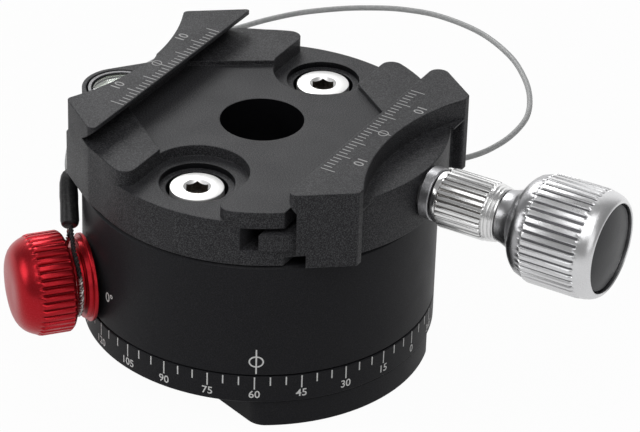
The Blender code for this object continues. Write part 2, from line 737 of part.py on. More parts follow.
def main_floor_outline():
    """Outline of the lowered floor between the three raised lands."""
    back_x = FIXED_LIP_X + DOVETAIL_DEPTH - 2 * SEAT_GAP
    front_x = LEDGE_EDGE_X + OVERRUN
    wall = SLOT_HALF_WIDTH - SEAT_GAP
    right_y = on_line(LAND_RIGHT_NEAR, LAND_RIGHT_FAR, front_x)
    return [(-back_x, -on_line(LAND_FRONT_NEAR, LAND_FRONT_FAR, back_x)),
            (-wall, -on_line(LAND_FRONT_NEAR, LAND_FRONT_FAR, wall)), (-wall, -FAR), (FAR, -FAR),
            (FAR, right_y), (front_x, right_y), (wall, on_line(LAND_RIGHT_NEAR, LAND_RIGHT_FAR, wall)),
            (wall, FAR), (-wall, FAR), (-wall, on_line(LAND_BACK_NEAR, LAND_BACK_FAR, wall)),
            (-back_x, on_line(LAND_BACK_NEAR, LAND_BACK_FAR, back_x))]


def slot_outline(side):
    """Outline of a U slot that opens through the rim at front (-1) or back (1)."""
    lean = math.acos(SLOT_HALF_WIDTH / SLOT_RADIUS)
    points = arc((0, -SLOT_CENTRE_Y), SLOT_RADIUS, lean, math.pi - lean, 16)
    points = points + [(-SLOT_HALF_WIDTH, -FAR), (SLOT_HALF_WIDTH, -FAR)]
    return [(x, -y * side) for x, y in points]


def build_clamp_body(materials):
    """Clamp body with the fixed jaw, floor, lands, slots and the tunnel of the moving jaw's tongue."""
    body = add_object("clamp_body", extruded(body_outline(), BODY_BOTTOM_Z, LAND_Z), materials["black"])
    join(body, add_object("fixed_jaw_form", extruded(fixed_jaw_outline(), LAND_Z - LAND_RISE, JAW_TOP_Z)))
    undercut_x = FIXED_LIP_X + DOVETAIL_DEPTH
    lip_z = JAW_TOP_Z - FIXED_LIP_HEIGHT
    cut(body, prism_along_y("fixed_dovetail", [(-FIXED_LIP_X + OVERRUN, lip_z), (-FIXED_LIP_X, lip_z),
                            (-undercut_x, LAND_Z), (-FIXED_LIP_X + OVERRUN, LAND_Z)]))
    cut(body, add_object("main_floor", extruded(main_floor_outline(), FLOOR_Z, LAND_Z + SEAT_GAP)))
    cut(body, add_object("jaw_tunnel", box((WEB_FACE_X, -FAR, TUNNEL_BOTTOM_Z), (FAR, FAR, TUNNEL_TOP_Z))))
    cut(body, add_object("plate_edge", box((PLATE_EDGE_X, -FAR, TUNNEL_TOP_Z - SEAT_GAP), (FAR, FAR, TALL))))
    cut(body, add_object("ledge_notch", box((PLATE_EDGE_X, -FAR, BODY_BOTTOM_Z - OVERRUN),
                                            (FAR, FAR, BODY_BOTTOM_Z + LEDGE_NOTCH))))
    arc_x = -FIXED_ARC_X - JAW_ARC_RADIUS
    cut(body, round_cutter("fixed_arc", arc_x, 0, JAW_ARC_RADIUS, SHELF_Z, TALL, BIG_SIDES))
    head_seat = SCREW_HEAD_TOP_Z - SCREW_HEAD_HEIGHT - SEAT_GAP
    shank = SCREW_SHANK + SEAT_GAP
    ledge_z = SLOT_FLOOR_Z - COUNTERBORE_DEPTH
    well = [(0, SLOT_FLOOR_Z + OVERRUN), (COUNTERBORE_RADIUS, SLOT_FLOOR_Z + OVERRUN),
            (COUNTERBORE_RADIUS, ledge_z), (SCREW_WELL_RADIUS, ledge_z), (SCREW_WELL_RADIUS, head_seat),
            (shank, head_seat), (shank, BODY_BOTTOM_Z - OVERRUN), (0, BODY_BOTTOM_Z - OVERRUN)]
    web_end = WEB_FACE_X + OVERRUN
    for side in (-1, 1):
        cut(body, add_object("slot", extruded(slot_outline(-side), SLOT_FLOOR_Z, LAND_Z + OVERRUN)))
        tool = add_object("screw_well", turned(well, MID_SIDES))
        tool.location = (0, side * SCREW_Y, 0)
        cut(body, tool)
        y = side * PIN_Y
        cut(body, rod_along_x("pin_bore", y, PIN_Z, PIN_BORE, PIN_BORE_START_X, web_end, TINY_SIDES))
        pocket_x = SPRING_START_X - SEAT_GAP
        cut(body, rod_along_x("spring_pocket", y, PIN_Z, SPRING_POCKET, pocket_x, web_end, SMALL_SIDES))
    hole = [(0, TALL), (CENTRE_HOLE, TALL), (CENTRE_HOLE, CENTRE_LEDGE_Z), (CENTRE_BORE, CENTRE_LEDGE_Z),
            (CENTRE_BORE, BODY_BOTTOM_Z - OVERRUN), (0, BODY_BOTTOM_Z - OVERRUN)]
    cut(body, add_object("centre_hole", turned(hole, MID_SIDES)))
    start_x = CENTRE_HOLE - OVERRUN
    end_x = PLATE_EDGE_X + OVERRUN
    cut(body, rod_along_x("thread_bore", 0, CLAMP_AXIS_Z, THREAD_BORE, start_x, end_x, SMALL_SIDES))
    pocket = LEVEL_RADIUS + SEAT_GAP
    cut(body, round_cutter("level_pocket", -NOSE_X, 0, pocket, SHELF_Z - LEVEL_DEPTH, TALL, MID_SIDES))
    return body


def build_clamp_screws(materials):
    """Socket screws that hold the clamp body on the drum."""
    head_bottom = SCREW_HEAD_TOP_Z - SCREW_HEAD_HEIGHT
    profile = [(0, SCREW_HEAD_TOP_Z), (SCREW_HEAD_RADIUS - SCREW_HEAD_CHAMFER, SCREW_HEAD_TOP_Z),
               (SCREW_HEAD_RADIUS, SCREW_HEAD_TOP_Z - SCREW_HEAD_CHAMFER), (SCREW_HEAD_RADIUS, head_bottom),
               (SCREW_SHANK, head_bottom), (SCREW_SHANK, SCREW_BOTTOM_Z), (0, SCREW_BOTTOM_Z)]
    for name, side in (("clamp_screw_front", -1), ("clamp_screw_back", 1)):
        screw = add_object(name, turned(profile, MID_SIDES), materials["steel"])
        y = side * SCREW_Y
        screw.location = (0, y, 0)
        floor = SCREW_HEAD_TOP_Z - HEX_DEPTH
        cut(screw, round_cutter("hex_socket", 0, y, HEX_RADIUS, floor, TALL, HEX_SIDES))


def build_level(materials):
    """Bubble level: cup, fluid and domed lens, in the nose's pocket."""
    bottom = SHELF_Z - LEVEL_DEPTH + SEAT_GAP
    inner = LEVEL_RADIUS - LEVEL_WALL
    floor = bottom + LEVEL_FLOOR
    cup = [(0, floor), (inner, floor), (inner, SHELF_Z), (LEVEL_RADIUS, SHELF_Z), (LEVEL_RADIUS, bottom),
           (0, bottom)]
    add_object("level_cup", turned(cup, MID_SIDES), materials["black"]).location = (-NOSE_X, 0, 0)
    lens_bottom = SHELF_Z - LENS_THICKNESS
    fluid = rod_profile(inner - SEAT_GAP, floor + SEAT_GAP, lens_bottom - SEAT_GAP)
    add_object("level_fluid", turned(fluid, SMALL_SIDES), materials["fluid"]).location = (-NOSE_X, 0, 0)
    radius = inner - SEAT_GAP
    lens = [(0, SHELF_Z + LENS_DOME - SEAT_GAP), (radius / 2, SHELF_Z + LENS_DOME * 3 / 4 - SEAT_GAP),
            (radius, SHELF_Z - SEAT_GAP), (radius, lens_bottom), (0, lens_bottom)]
    add_object("level_lens", turned(lens, MID_SIDES), materials["glass"]).location = (-NOSE_X, 0, 0)


def jaw_upper_outline():
    """Plan of the moving jaw: a shifted arc between two square pillars."""
    centre = (JAW_OPENED, 0)
    pillar_angle = math.asin(PILLAR_INNER_Y / JAW_RADIUS)
    half = arc(centre, JAW_RADIUS, 0, pillar_angle, 10)
    half += [(PILLAR_SIDE_X, PILLAR_INNER_Y), (PILLAR_SIDE_X, PILLAR_TURN_Y), (PILLAR_NEAR_X, PILLAR_NEAR_Y),
             (PILLAR_MID_X, PILLAR_MID_Y), (PILLAR_FAR_X, PILLAR_FAR_Y)]
    corner = (MOVING_LIP_X + LIP_CORNER, PILLAR_FAR_Y - LIP_CORNER)
    half += arc(corner, LIP_CORNER, math.radians(100.0), math.pi, 4)
    half.append((MOVING_LIP_X, 0))
    return mirrored(half)


def tongue_outline():
    """Plan of the tongue that slides in the clamp body's tunnel."""
    reach = JAW_WALL_X + OVERRUN
    centre = (JAW_OPENED, 0)
    start = math.acos((reach - JAW_OPENED) / JAW_RADIUS)
    end = math.acos((TONGUE_EDGE_X - JAW_OPENED) / JAW_RADIUS)
    half = [(reach, 0)] + arc(centre, JAW_RADIUS, start, end, 4) + [(TONGUE_EDGE_X, 0)]
    return mirrored(half)


def build_moving_jaw(materials, slide):
    """Moving jaw: pillars, lip, outer arc and shelf, with a tongue below."""
    block = extruded(jaw_upper_outline(), JAW_BOTTOM_Z, JAW_TOP_Z)
    jaw = add_object("moving_jaw", block, materials["black"], slide)
    lip_z = JAW_TOP_Z - MOVING_LIP_HEIGHT
    foot_z = lip_z - (JAW_WALL_X - MOVING_LIP_X)
    cut(jaw, prism_along_y("moving_dovetail", [(MOVING_LIP_X - OVERRUN, JAW_BOTTOM_Z - OVERRUN),
                           (JAW_WALL_X, JAW_BOTTOM_Z - OVERRUN), (JAW_WALL_X, foot_z), (MOVING_LIP_X, lip_z),
                           (MOVING_LIP_X - OVERRUN, lip_z)]))
    join(jaw, add_object("tongue_form", extruded(tongue_outline(), TONGUE_BOTTOM_Z, TONGUE_TOP_Z)))
    cut(jaw, add_object("skirt_edge", box((TONGUE_EDGE_X - OVERRUN, -FAR, JAW_BOTTOM_Z - OVERRUN),
                                          (SKIRT_X, FAR, TONGUE_BOTTOM_Z))))
    relief = box((TONGUE_EDGE_X - OVERRUN, -TONGUE_RELIEF, TONGUE_BOTTOM_Z - SEAT_GAP),
                 (JAW_WALL_X, TONGUE_RELIEF, TONGUE_TOP_Z + SEAT_GAP))
    cut(jaw, add_object("tongue_relief", relief))
    arc_x = MOVING_ARC_X + JAW_ARC_RADIUS
    cut(jaw, round_cutter("moving_arc", arc_x, 0, JAW_ARC_RADIUS, JAW_SHELF_Z, TALL, BIG_SIDES))
    bore_x = JAW_WALL_X - OVERRUN
    cut(jaw, rod_along_x("spindle_bore", 0, CLAMP_AXIS_Z, THREAD_BORE, bore_x, FAR, SMALL_SIDES))
    seat_x = COLLAR_TUBE_START_X - SEAT_GAP
    seat_radius = COLLAR_TUBE + SEAT_GAP
    cut(jaw, rod_along_x("collar_bore", 0, CLAMP_AXIS_Z, seat_radius, seat_x, FAR, SMALL_SIDES))
    for side in (-1, 1):
        cut(jaw, rod_along_x("pin_seat", side * PIN_Y, PIN_Z, PIN_BORE, TONGUE_EDGE_X - OVERRUN,
                             PIN_END_X + SEAT_GAP, TINY_SIDES))
    return jaw


def build_guides(materials, slide):
    """Guide pins on the jaw, each with a spring that pushes the jaw open."""
    length = TONGUE_EDGE_X - SEAT_GAP - SPRING_WIRE - SPRING_START_X
    for name, side in (("front", -1), ("back", 1)):
        y = side * PIN_Y
        pin = rod_along_x("guide_pin_" + name, y, PIN_Z, PIN_RADIUS, PIN_START_X, PIN_END_X, TINY_SIDES)
        pin.data.materials.append(materials["steel"])
        pin.parent = slide
        start = Vector((SPRING_START_X + SPRING_WIRE / 2, y, PIN_Z))
        points = helix(start, Vector((1, 0, 0)), Vector((0, 1, 0)), SPRING_RADIUS, length, SPRING_TURNS)
        tube("jaw_spring_" + name, points, SPRING_WIRE, 1, materials["steel"])
    print_self_gap("jaw_spring", SPRING_TURNS, length, SPRING_WIRE)


def build_collar(materials, slide):
    """Bright bushing in the jaw that the spindle turns in."""
    profile = [(COLLAR_RADIUS - COLLAR_CHAMFER, COLLAR_END_X),
               (COLLAR_RADIUS, COLLAR_END_X - COLLAR_CHAMFER), (COLLAR_RADIUS, COLLAR_FLANGE_X),
               (COLLAR_TUBE, COLLAR_FLANGE_X), (COLLAR_TUBE, COLLAR_TUBE_START_X),
               (THREAD_BORE, COLLAR_TUBE_START_X), (THREAD_BORE, COLLAR_END_X)]
    collar = add_object("spindle_collar", turned(profile, MID_SIDES), materials["chrome"], slide)
    collar.location = (0, 0, CLAMP_AXIS_Z)
    collar.rotation_euler = (0, math.pi / 2, 0)


def build_spindle(materials, knob_axis):
    """Threaded spindle from the clamp body to the knob."""
    profile = rod_profile(SPINDLE_RADIUS, SPINDLE_START_X, SPINDLE_END_X)
    add_object("clamp_spindle", turned(profile, SMALL_SIDES), materials["dark_steel"], knob_axis)


def build_sleeve(materials, knob_axis):
    """Knurled bright sleeve between the jaw and the knob."""
    count = SLEEVE_RIDGES
    groove = SLEEVE_RADIUS - SLEEVE_KNURL_DEPTH
    few = count // 2
    loops = [ring(THREAD_BORE, SLEEVE_START_X, few),
             ring(SLEEVE_COLLAR_RADIUS - COLLAR_CHAMFER, SLEEVE_START_X, count),
             ring(SLEEVE_COLLAR_RADIUS, SLEEVE_START_X + COLLAR_CHAMFER, count),
             ring(SLEEVE_COLLAR_RADIUS, SLEEVE_KNURL_START_X - COLLAR_CHAMFER, count),
             knurl_ring(SLEEVE_RADIUS, SLEEVE_KNURL_DEPTH, SLEEVE_KNURL_START_X, SLEEVE_RIDGES),
             knurl_ring(SLEEVE_RADIUS, SLEEVE_KNURL_DEPTH, SLEEVE_KNURL_END_X, SLEEVE_RIDGES),
             ring(groove, SLEEVE_KNURL_END_X + COLLAR_CHAMFER, count),
             ring(SLEEVE_COLLAR_RADIUS, SLEEVE_KNURL_END_X + 4 * COLLAR_CHAMFER, count),
             ring(SLEEVE_NECK_RADIUS, SLEEVE_END_X - COLLAR_CHAMFER, count),
             ring(SLEEVE_NECK_RADIUS, SLEEVE_END_X, count), ring(SLEEVE_HUB_RADIUS, SLEEVE_END_X, few),
             ring(SLEEVE_HUB_RADIUS, SLEEVE_HUB_END_X, few), ring(THREAD_BORE, SLEEVE_HUB_END_X, few)]
    add_object("knob_sleeve", lofted(loops, True), materials["chrome"], knob_axis)


def knob_flare():
    """Radii along the knob's bell, from the neck to the head."""
    start_x = SLEEVE_END_X + SEAT_GAP
    length = KNOB_KNURL_START_X - start_x
    rise = KNOB_RADIUS - KNOB_KNURL_DEPTH / 2 - SLEEVE_NECK_RADIUS
    shares = ((0.0, 0.0), (0.14, 0.05), (0.31, 0.15), (0.40, 0.28), (0.47, 0.45), (0.54, 0.63), (0.63, 0.79),
              (0.73, 0.91), (0.86, 0.985))
    return [(SLEEVE_NECK_RADIUS + rise * up, start_x + length * along) for along, up in shares]


def build_clamp_knob(materials, knob_axis):
    """Clamp knob: bell, straight-knurled head, rounded rim and a seat for the cap."""
    count = KNOB_RIDGES
    start_x = SLEEVE_END_X + SEAT_GAP
    hub = SLEEVE_HUB_RADIUS + SEAT_GAP
    few = count // 2
    hub_end = SLEEVE_HUB_END_X + SEAT_GAP
    loops = [ring(THREAD_BORE, hub_end, few), ring(hub, hub_end, few), ring(hub, start_x, few)]
    loops += [ring(radius, along, count) for radius, along in knob_flare()]
    loops += [knurl_ring(KNOB_RADIUS, KNOB_KNURL_DEPTH, KNOB_KNURL_START_X, KNOB_RIDGES),
              knurl_ring(KNOB_RADIUS, KNOB_KNURL_DEPTH, KNOB_KNURL_END_X, KNOB_RIDGES)]
    rim = KNOB_END_X - KNOB_KNURL_END_X
    seat = CAP_RADIUS + SEAT_GAP
    wall = KNOB_RADIUS - seat
    rim_shares = ((0.20, 0.97), (0.60, 0.75), (0.90, 0.40), (1.0, 0.12))
    loops += [ring(seat + wall * out, KNOB_KNURL_END_X + rim * along, count) for along, out in rim_shares]
    loops += [ring(seat, KNOB_END_X - SEAT_GAP, count), ring(seat, CAP_SEAT_X, few),
              ring(THREAD_BORE, CAP_SEAT_X, few)]
    add_object("clamp_knob", lofted(loops, True), materials["aluminium"], knob_axis)
    rise = CAP_TOP_X - CAP_RIM_X
    cap_shares = (0, 0.5, 0.75, 1.0)
    cap = [(CAP_RADIUS * out, CAP_TOP_X - rise * out ** 2) for out in cap_shares]
    cap += [(CAP_RADIUS, CAP_SEAT_X + SEAT_GAP), (0, CAP_SEAT_X + SEAT_GAP)]
    add_object("knob_cap", turned(cap, MID_SIDES), materials["plastic"], knob_axis)


def build_index_knob(materials, index_axis):
    """Red knob: flange, collar, neck for the lanyard, knurled head with a round front."""
    count = INDEX_RIDGES
    bore = PLUNGER_RADIUS + SEAT_GAP
    head = INDEX_RADIUS - INDEX_KNURL_DEPTH
    front = INDEX_FACE_S - INDEX_KNURL_END_S
    dome_shares = ((0.10, 0.965), (0.40, 0.895), (0.66, 0.77), (0.86, 0.57), (1.0, 0.30))
    few = count // 2
    loops = [ring(bore, PLUNGER_END_S + SEAT_GAP, few), ring(bore, INDEX_FLANGE_S, few),
             ring(INDEX_FLANGE_RADIUS, INDEX_FLANGE_S, count), ring(INDEX_FLANGE_RADIUS, INDEX_STEP_S, count),
             ring(INDEX_COLLAR_RADIUS, INDEX_STEP_S, count),
             ring(INDEX_COLLAR_RADIUS, INDEX_NECK_START_S, count),
             ring(INDEX_NECK_RADIUS, INDEX_NECK_START_S, few), ring(INDEX_NECK_RADIUS, INDEX_NECK_END_S, few),
             ring(head - SEAT_GAP, INDEX_NECK_END_S, count), ring(head, INDEX_NECK_END_S + SEAT_GAP, count),
             knurl_ring(INDEX_RADIUS, INDEX_KNURL_DEPTH, INDEX_KNURL_START_S, INDEX_RIDGES),
             knurl_ring(INDEX_RADIUS, INDEX_KNURL_DEPTH, INDEX_KNURL_END_S, INDEX_RIDGES)]
    loops += [ring(INDEX_RADIUS * out, INDEX_KNURL_END_S + front * along, count)
              for along, out in dome_shares]
    bm = lofted(loops, False)
    return add_object("index_knob", bm, materials["red"], index_axis)


def build_plunger(materials, index_axis):
    """Threaded plunger body with a sprung pin that rides on the index ring."""
    bore = PIN_TIP_RADIUS + SEAT_GAP
    profile = [(0, PLUNGER_END_S), (PLUNGER_RADIUS, PLUNGER_END_S), (PLUNGER_RADIUS, PLUNGER_START_S),
               (bore, PLUNGER_START_S), (bore, PLUNGER_BORE_END_S), (0, PLUNGER_BORE_END_S)]
    add_object("plunger_body", turned(profile, SMALL_SIDES), materials["brass"], index_axis)
    tip = RING_RADIUS + SEAT_GAP
    pin = [(0, INDEX_PIN_END_S), (PIN_TIP_RADIUS, INDEX_PIN_END_S), (PIN_TIP_RADIUS, tip + PIN_TIP_ROUND),
           (PIN_TIP_RADIUS - PIN_TIP_ROUND, tip), (0, tip)]
    add_object("index_pin", turned(pin, TINY_SIDES), materials["steel"], index_axis)
    start = INDEX_PIN_END_S + SEAT_GAP + INDEX_SPRING_WIRE / 2
    length = PLUNGER_BORE_END_S - SEAT_GAP - INDEX_SPRING_WIRE / 2 - start
    points = helix(Vector((0, 0, start)), Vector((0, 0, 1)), Vector((1, 0, 0)), INDEX_SPRING_RADIUS, length,
                   INDEX_SPRING_TURNS)
    tube("plunger_spring", points, INDEX_SPRING_WIRE, 1, materials["steel"], index_axis)
    print_self_gap("plunger_spring", INDEX_SPRING_TURNS, length, INDEX_SPRING_WIRE)


def loop_points(index_axis):
    """Route of the wire loop: up from the ferrule, once round the knob's neck and back, in world places."""
    radius = INDEX_NECK_RADIUS + SEAT_GAP + LOOP_DIAMETER / 2
    place = Matrix.Translation(index_axis.location) @ index_axis.rotation_euler.to_matrix().to_4x4()
    ferrule = Vector(FERRULE_BOTTOM)
    along = (Vector(FERRULE_TOP) - ferrule).normalized()
    local = place.inverted() @ ferrule
    distance = math.hypot(local.x, local.y)
    toward = math.atan2(local.y, local.x)
    spread = math.acos(radius / distance)
    across = place.to_3x3() @ Vector((math.sin(toward), -math.cos(toward), 0))
    side = (across - along * across.dot(along)).normalized()
    offset = side * (LOOP_DIAMETER / 2 + SEAT_GAP)
    ends = [ferrule - along * SEAT_GAP - offset, ferrule - along * SEAT_GAP + offset]
    lead = [end - along * LOOP_DIAMETER for end in ends]
    steps = 26
    turn = (math.tau - 2 * spread) / steps
    circle = []
    for k in range(steps + 1):
        angle = toward + spread + turn * k
        circle.append(place @ Vector((radius * math.cos(angle), radius * math.sin(angle), LOOP_S)))
    return [ends[0], lead[0]] + circle + [lead[1], ends[1]]


def build_lanyard(materials, index_axis):
    """Steel wire lanyard: anchor on the drum, long wire, ferrule and loop on the knob's neck."""
    route = smooth_route(WIRE_ROUTE, WIRE_POINTS)
    tube("lanyard_wire", route, WIRE_DIAMETER, 2, materials["wire"])
    bottom = Vector(FERRULE_BOTTOM)
    along = Vector(FERRULE_TOP) - bottom
    profile = rod_profile(FERRULE_RADIUS, 0, along.length)
    ferrule = add_object("lanyard_ferrule", turned(profile, SMALL_SIDES), materials["plastic"])
    ferrule.location = bottom
    ferrule.rotation_euler = along.to_track_quat("Z", "Y").to_euler()
    tube("lanyard_loop", loop_points(index_axis), LOOP_DIAMETER, 1, materials["steel"])
    flange = DRUM_RADIUS + SEAT_GAP
    flange_top = flange + ANCHOR_FLANGE
    root = DRUM_RADIUS - ANCHOR_DEPTH
    anchor = [(0, flange + ANCHOR_REACH), (ANCHOR_RADIUS, flange + ANCHOR_REACH), (ANCHOR_RADIUS, flange_top),
              (ANCHOR_FLANGE_RADIUS, flange_top), (ANCHOR_FLANGE_RADIUS, flange), (ANCHOR_RADIUS, flange),
              (ANCHOR_RADIUS, root), (0, root)]
    stud = add_object("lanyard_anchor", turned(anchor, SMALL_SIDES), materials["steel"])
    stud.location = (0, 0, ANCHOR_Z)
    stud.rotation_euler = (0, math.pi / 2, ANCHOR_AZIMUTH)


def main():
    """Build every piece of the head."""
    clear_scene()
    materials = {"black": black_anodised(), "red": red_anodised(), "aluminium": satin_aluminium(),
                 "chrome": polished_chrome(), "steel": bright_steel(), "dark_steel": dark_steel(),
                 "brass": brass(), "plastic": black_plastic(), "wire": coated_wire(), "glass": level_glass(),
                 "fluid": level_fluid()}
    slide = axis_empty("jaw_slide_axis", (0, 0, 0), (0, 0, 0))
    knob_axis = axis_empty("clamp_knob_axis", (0, 0, CLAMP_AXIS_Z), (0, math.pi / 2, 0))
    index_axis = axis_empty("index_knob_axis", (0, 0, INDEX_Z), (0, math.pi / 2, INDEX_AZIMUTH))
    build_base(materials)
    build_bushing(materials)
    build_base_screws(materials)
    build_index_ring(materials)
    build_bearings(materials)
    build_drum(materials)
    build_clamp_body(materials)
    build_clamp_screws(materials)
    build_level(materials)
    build_moving_jaw(materials, slide)
    build_guides(materials, slide)
    build_collar(materials, slide)
    build_spindle(materials, knob_axis)
    build_sleeve(materials, knob_axis)
    build_clamp_knob(materials, knob_axis)
    build_index_knob(materials, index_axis)
    build_plunger(materials, index_axis)
    build_lanyard(materials, index_axis)


main()
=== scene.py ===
"""Visual model of a panoramic tripod head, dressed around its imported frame.

Every size is in millimetres in the frame's axes: +Z up along the pan axis, +X out along the clamp knob's
axis, +Y along the clamp's channel. A piece turns to metres when it is mounted on its body.
"""

import logging
import math
from dataclasses import dataclass, field
from enum import Enum
from functools import cache

import bmesh
import bpy
from mathutils import Matrix, Vector


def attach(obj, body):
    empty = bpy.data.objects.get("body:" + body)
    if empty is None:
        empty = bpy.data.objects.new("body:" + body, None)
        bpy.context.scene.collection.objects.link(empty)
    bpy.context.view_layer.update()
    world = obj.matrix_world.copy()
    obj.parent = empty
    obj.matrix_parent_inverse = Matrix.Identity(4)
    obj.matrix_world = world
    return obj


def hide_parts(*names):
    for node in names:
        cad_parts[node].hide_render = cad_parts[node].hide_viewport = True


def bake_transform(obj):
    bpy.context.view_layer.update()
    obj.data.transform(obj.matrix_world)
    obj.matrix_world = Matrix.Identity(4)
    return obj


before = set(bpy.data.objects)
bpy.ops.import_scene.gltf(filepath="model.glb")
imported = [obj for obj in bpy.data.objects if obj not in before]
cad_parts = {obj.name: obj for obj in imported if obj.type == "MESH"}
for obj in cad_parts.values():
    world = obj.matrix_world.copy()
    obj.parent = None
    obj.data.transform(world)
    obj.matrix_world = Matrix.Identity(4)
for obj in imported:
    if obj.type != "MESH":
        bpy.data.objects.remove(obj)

LOG = logging.getLogger("head")
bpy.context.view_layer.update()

# Metres in a millimetre
MM = 0.001
# Running gap between pieces that stay apart
GAP = 0.3
# How far a cutter runs past the face that it opens, and a length past every face
OVERRUN = 2.0
FAR = 60.0
# Distances at which the points of a new form and of a finished piece are merged
WELD = 0.0005
MERGE = 0.004
# Angles from which an edge is rounded and from which shading breaks
ROUND_FROM = math.radians(28.0)
SHARP_FROM = math.radians(32.0)
# Share of a knurl's depth below which its faces take a darker finish, painted shade in the grooves
SHADED_GROOVE_SHARE = 0.6
# Thickness of printed ink
INK = 0.02
# Trades the places of y and z
SWAP_YZ = Matrix(((1, 0, 0, 0), (0, 0, 1, 0), (0, 1, 0, 0), (0, 0, 0, 1)))

# Sizes that several sub-assemblies share
DRUM_RADIUS = 30.0
CLAMP_AXIS_Z = 37.7
INDEX_AXIS_Z = 15.9
INDEX_AZIMUTH = math.radians(-131.0)
JAW_TOP = 45.84
LAND_TOP = 42.2
SCREW_Y = 20.4
LEVEL_X = -27.8
LEVEL_SHELF = 39.1

# A corner holds x, y and its rounding; a section holds radius, groove depth and place along the axis
Point = tuple[float, float]
Place = tuple[float, float, float]
Corner = tuple[float, float, float]
Section = tuple[float, float, float]
Colour = tuple[float, float, float]


class Body(Enum):
    """Bodies of the frame that pieces ride on."""

    BASE = "base"
    DRUM = "drum"
    JAW = "moving_jaw"
    CLAMP_KNOB = "clamp_knob"
    CARRIAGE = "index_carriage"
    INDEX_KNOB = "index_knob"
    INDEX_PIN = "index_pin"


class Axis(Enum):
    """Axes that pieces are turned about, as height on the pan axis, tilt from +Z and azimuth."""

    PAN = (0.0, 0.0, 0.0)
    CLAMP = (CLAMP_AXIS_Z, math.pi / 2, 0.0)
    INDEX = (INDEX_AXIS_Z, math.pi / 2, INDEX_AZIMUTH)

    def matrix(self) -> Matrix:
        """Return the axis's frame in millimetres, local Z along the axis.

        Returns:
            A matrix of four rows.
        """
        height, tilt, azimuth = self.value
        turn = Matrix.Rotation(azimuth, 3, "Z") @ Matrix.Rotation(tilt, 3, "Y")
        return Matrix.LocRotScale(Vector((0, 0, height)), turn, None)


def arc(centre: Point, radius: float, start: float, end: float, steps: int) -> list[Point]:
    """Return points on an arc between two angles in radians, ends included."""
    angles = [start + (end - start) * step / steps for step in range(steps + 1)]
    return [(centre[0] + radius * math.cos(angle), centre[1] + radius * math.sin(angle)) for angle in angles]


def mirrored(half: list[Point]) -> list[Point]:
    """Return a closed outline from its half at y above zero."""
    return half + [(x, -y) for x, y in reversed(half) if y > WELD]


def filleted(corners: list[Corner], steps: int = 8) -> list[Point]:
    """Round the corners of a closed outline.

    Args:
        corners: Corners as (x, y, radius); a radius of 0 keeps the corner.
        steps: Stretches along each rounding.

    Returns:
        The outline's points.
    """
    side_share = 0.48
    result = []
    for k, (x, y, radius) in enumerate(corners):
        if not radius:
            result.append((x, y))
            continue
        here = Vector((x, y))
        back = Vector(corners[k - 1][:2]) - here
        ahead = Vector(corners[(k + 1) % len(corners)][:2]) - here
        half = back.angle(ahead) / 2
        reach = min(radius / math.tan(half), side_share * back.length, side_share * ahead.length)
        inner = reach * math.tan(half)
        centre = here + (back.normalized() + ahead.normalized()).normalized() * (inner / math.sin(half))
        start = here + back.normalized() * reach - centre
        end = here + ahead.normalized() * reach - centre
        first = math.atan2(start.y, start.x)
        turn = (math.atan2(end.y, end.x) - first + math.pi) % math.tau - math.pi
        result += arc(tuple(centre), inner, first, first + turn, steps)
    return result


def two_sided(front: list[Corner], back: list[Corner]) -> list[Point]:
    """Return a rounded closed outline from its back half and the mirror of its front half, y above 0."""
    return filleted(back + [(x, -y, radius) for x, y, radius in reversed(front)])


def turned(profile: list[Point], sides: int) -> bmesh.types.BMesh:
    """Spin a profile of (radius, height) points about Z.

    Args:
        profile: Closed outline, or one that starts and ends on the axis.
        sides: Number of steps round the axis.

    Returns:
        The solid.
    """
    bm = bmesh.new()
    points = [bm.verts.new((radius, 0.0, height)) for radius, height in profile]
    on_axis = profile[0][0] == 0 and profile[-1][0] == 0
    pairs = zip(points, points[1:] if on_axis else points[1:] + points[:1])
    edges = [bm.edges.new(pair) for pair in pairs]
    bmesh.ops.spin(bm, geom=points + edges, cent=(0, 0, 0), axis=(0, 0, 1), angle=math.tau, steps=sides,
                   use_merge=True)
    bmesh.ops.remove_doubles(bm, verts=bm.verts, dist=WELD)
    bmesh.ops.dissolve_degenerate(bm, edges=bm.edges, dist=WELD)
    return bm


def rod(radius: float, bottom: float, top: float, sides: int = 64) -> bmesh.types.BMesh:
    """Return a plain upright rod, used as a cutter."""
    return turned([(0, top), (radius, top), (radius, bottom), (0, bottom)], sides)


def extruded(outline: list[Point], bottom: float, top: float) -> bmesh.types.BMesh:
    """Raise a flat outline between two heights.

    Args:
        outline: Closed outline.
        bottom: Lower height.
        top: Upper height.

    Returns:
        The solid.
    """
    bm = bmesh.new()
    face = bm.faces.new([bm.verts.new((x, y, bottom)) for x, y in outline])
    raised = bmesh.ops.extrude_face_region(bm, geom=[face])
    upper = [item for item in raised["geom"] if isinstance(item, bmesh.types.BMVert)]
    bmesh.ops.translate(bm, verts=upper, vec=(0, 0, top - bottom))
    return bm


def block(low: Place, high: Place) -> bmesh.types.BMesh:
    """Return a block between two corners."""
    outline = [(low[0], low[1]), (high[0], low[1]), (high[0], high[1]), (low[0], high[1])]
    return extruded(outline, low[2], high[2])


def placed(bm: bmesh.types.BMesh, matrix: Matrix) -> bmesh.types.BMesh:
    """Move a mesh by a matrix and return it."""
    bmesh.ops.transform(bm, matrix=matrix, verts=bm.verts)
    return bm


def moved(bm: bmesh.types.BMesh, place: Place, turn: float = 0.0) -> bmesh.types.BMesh:
    """Turn a mesh about Z and put it at a place."""
    return placed(bm, Matrix.Translation(place) @ Matrix.Rotation(turn, 4, "Z"))


def on_axis(bm: bmesh.types.BMesh, axis: Axis) -> bmesh.types.BMesh:
    """Stand a mesh that was made about Z on another axis."""
    return placed(bm, axis.matrix())


def along_y(outline: list[Point]) -> bmesh.types.BMesh:
    """Return a long bar along Y from an outline in (x, z)."""
    return placed(extruded(outline, -FAR, FAR), SWAP_YZ)


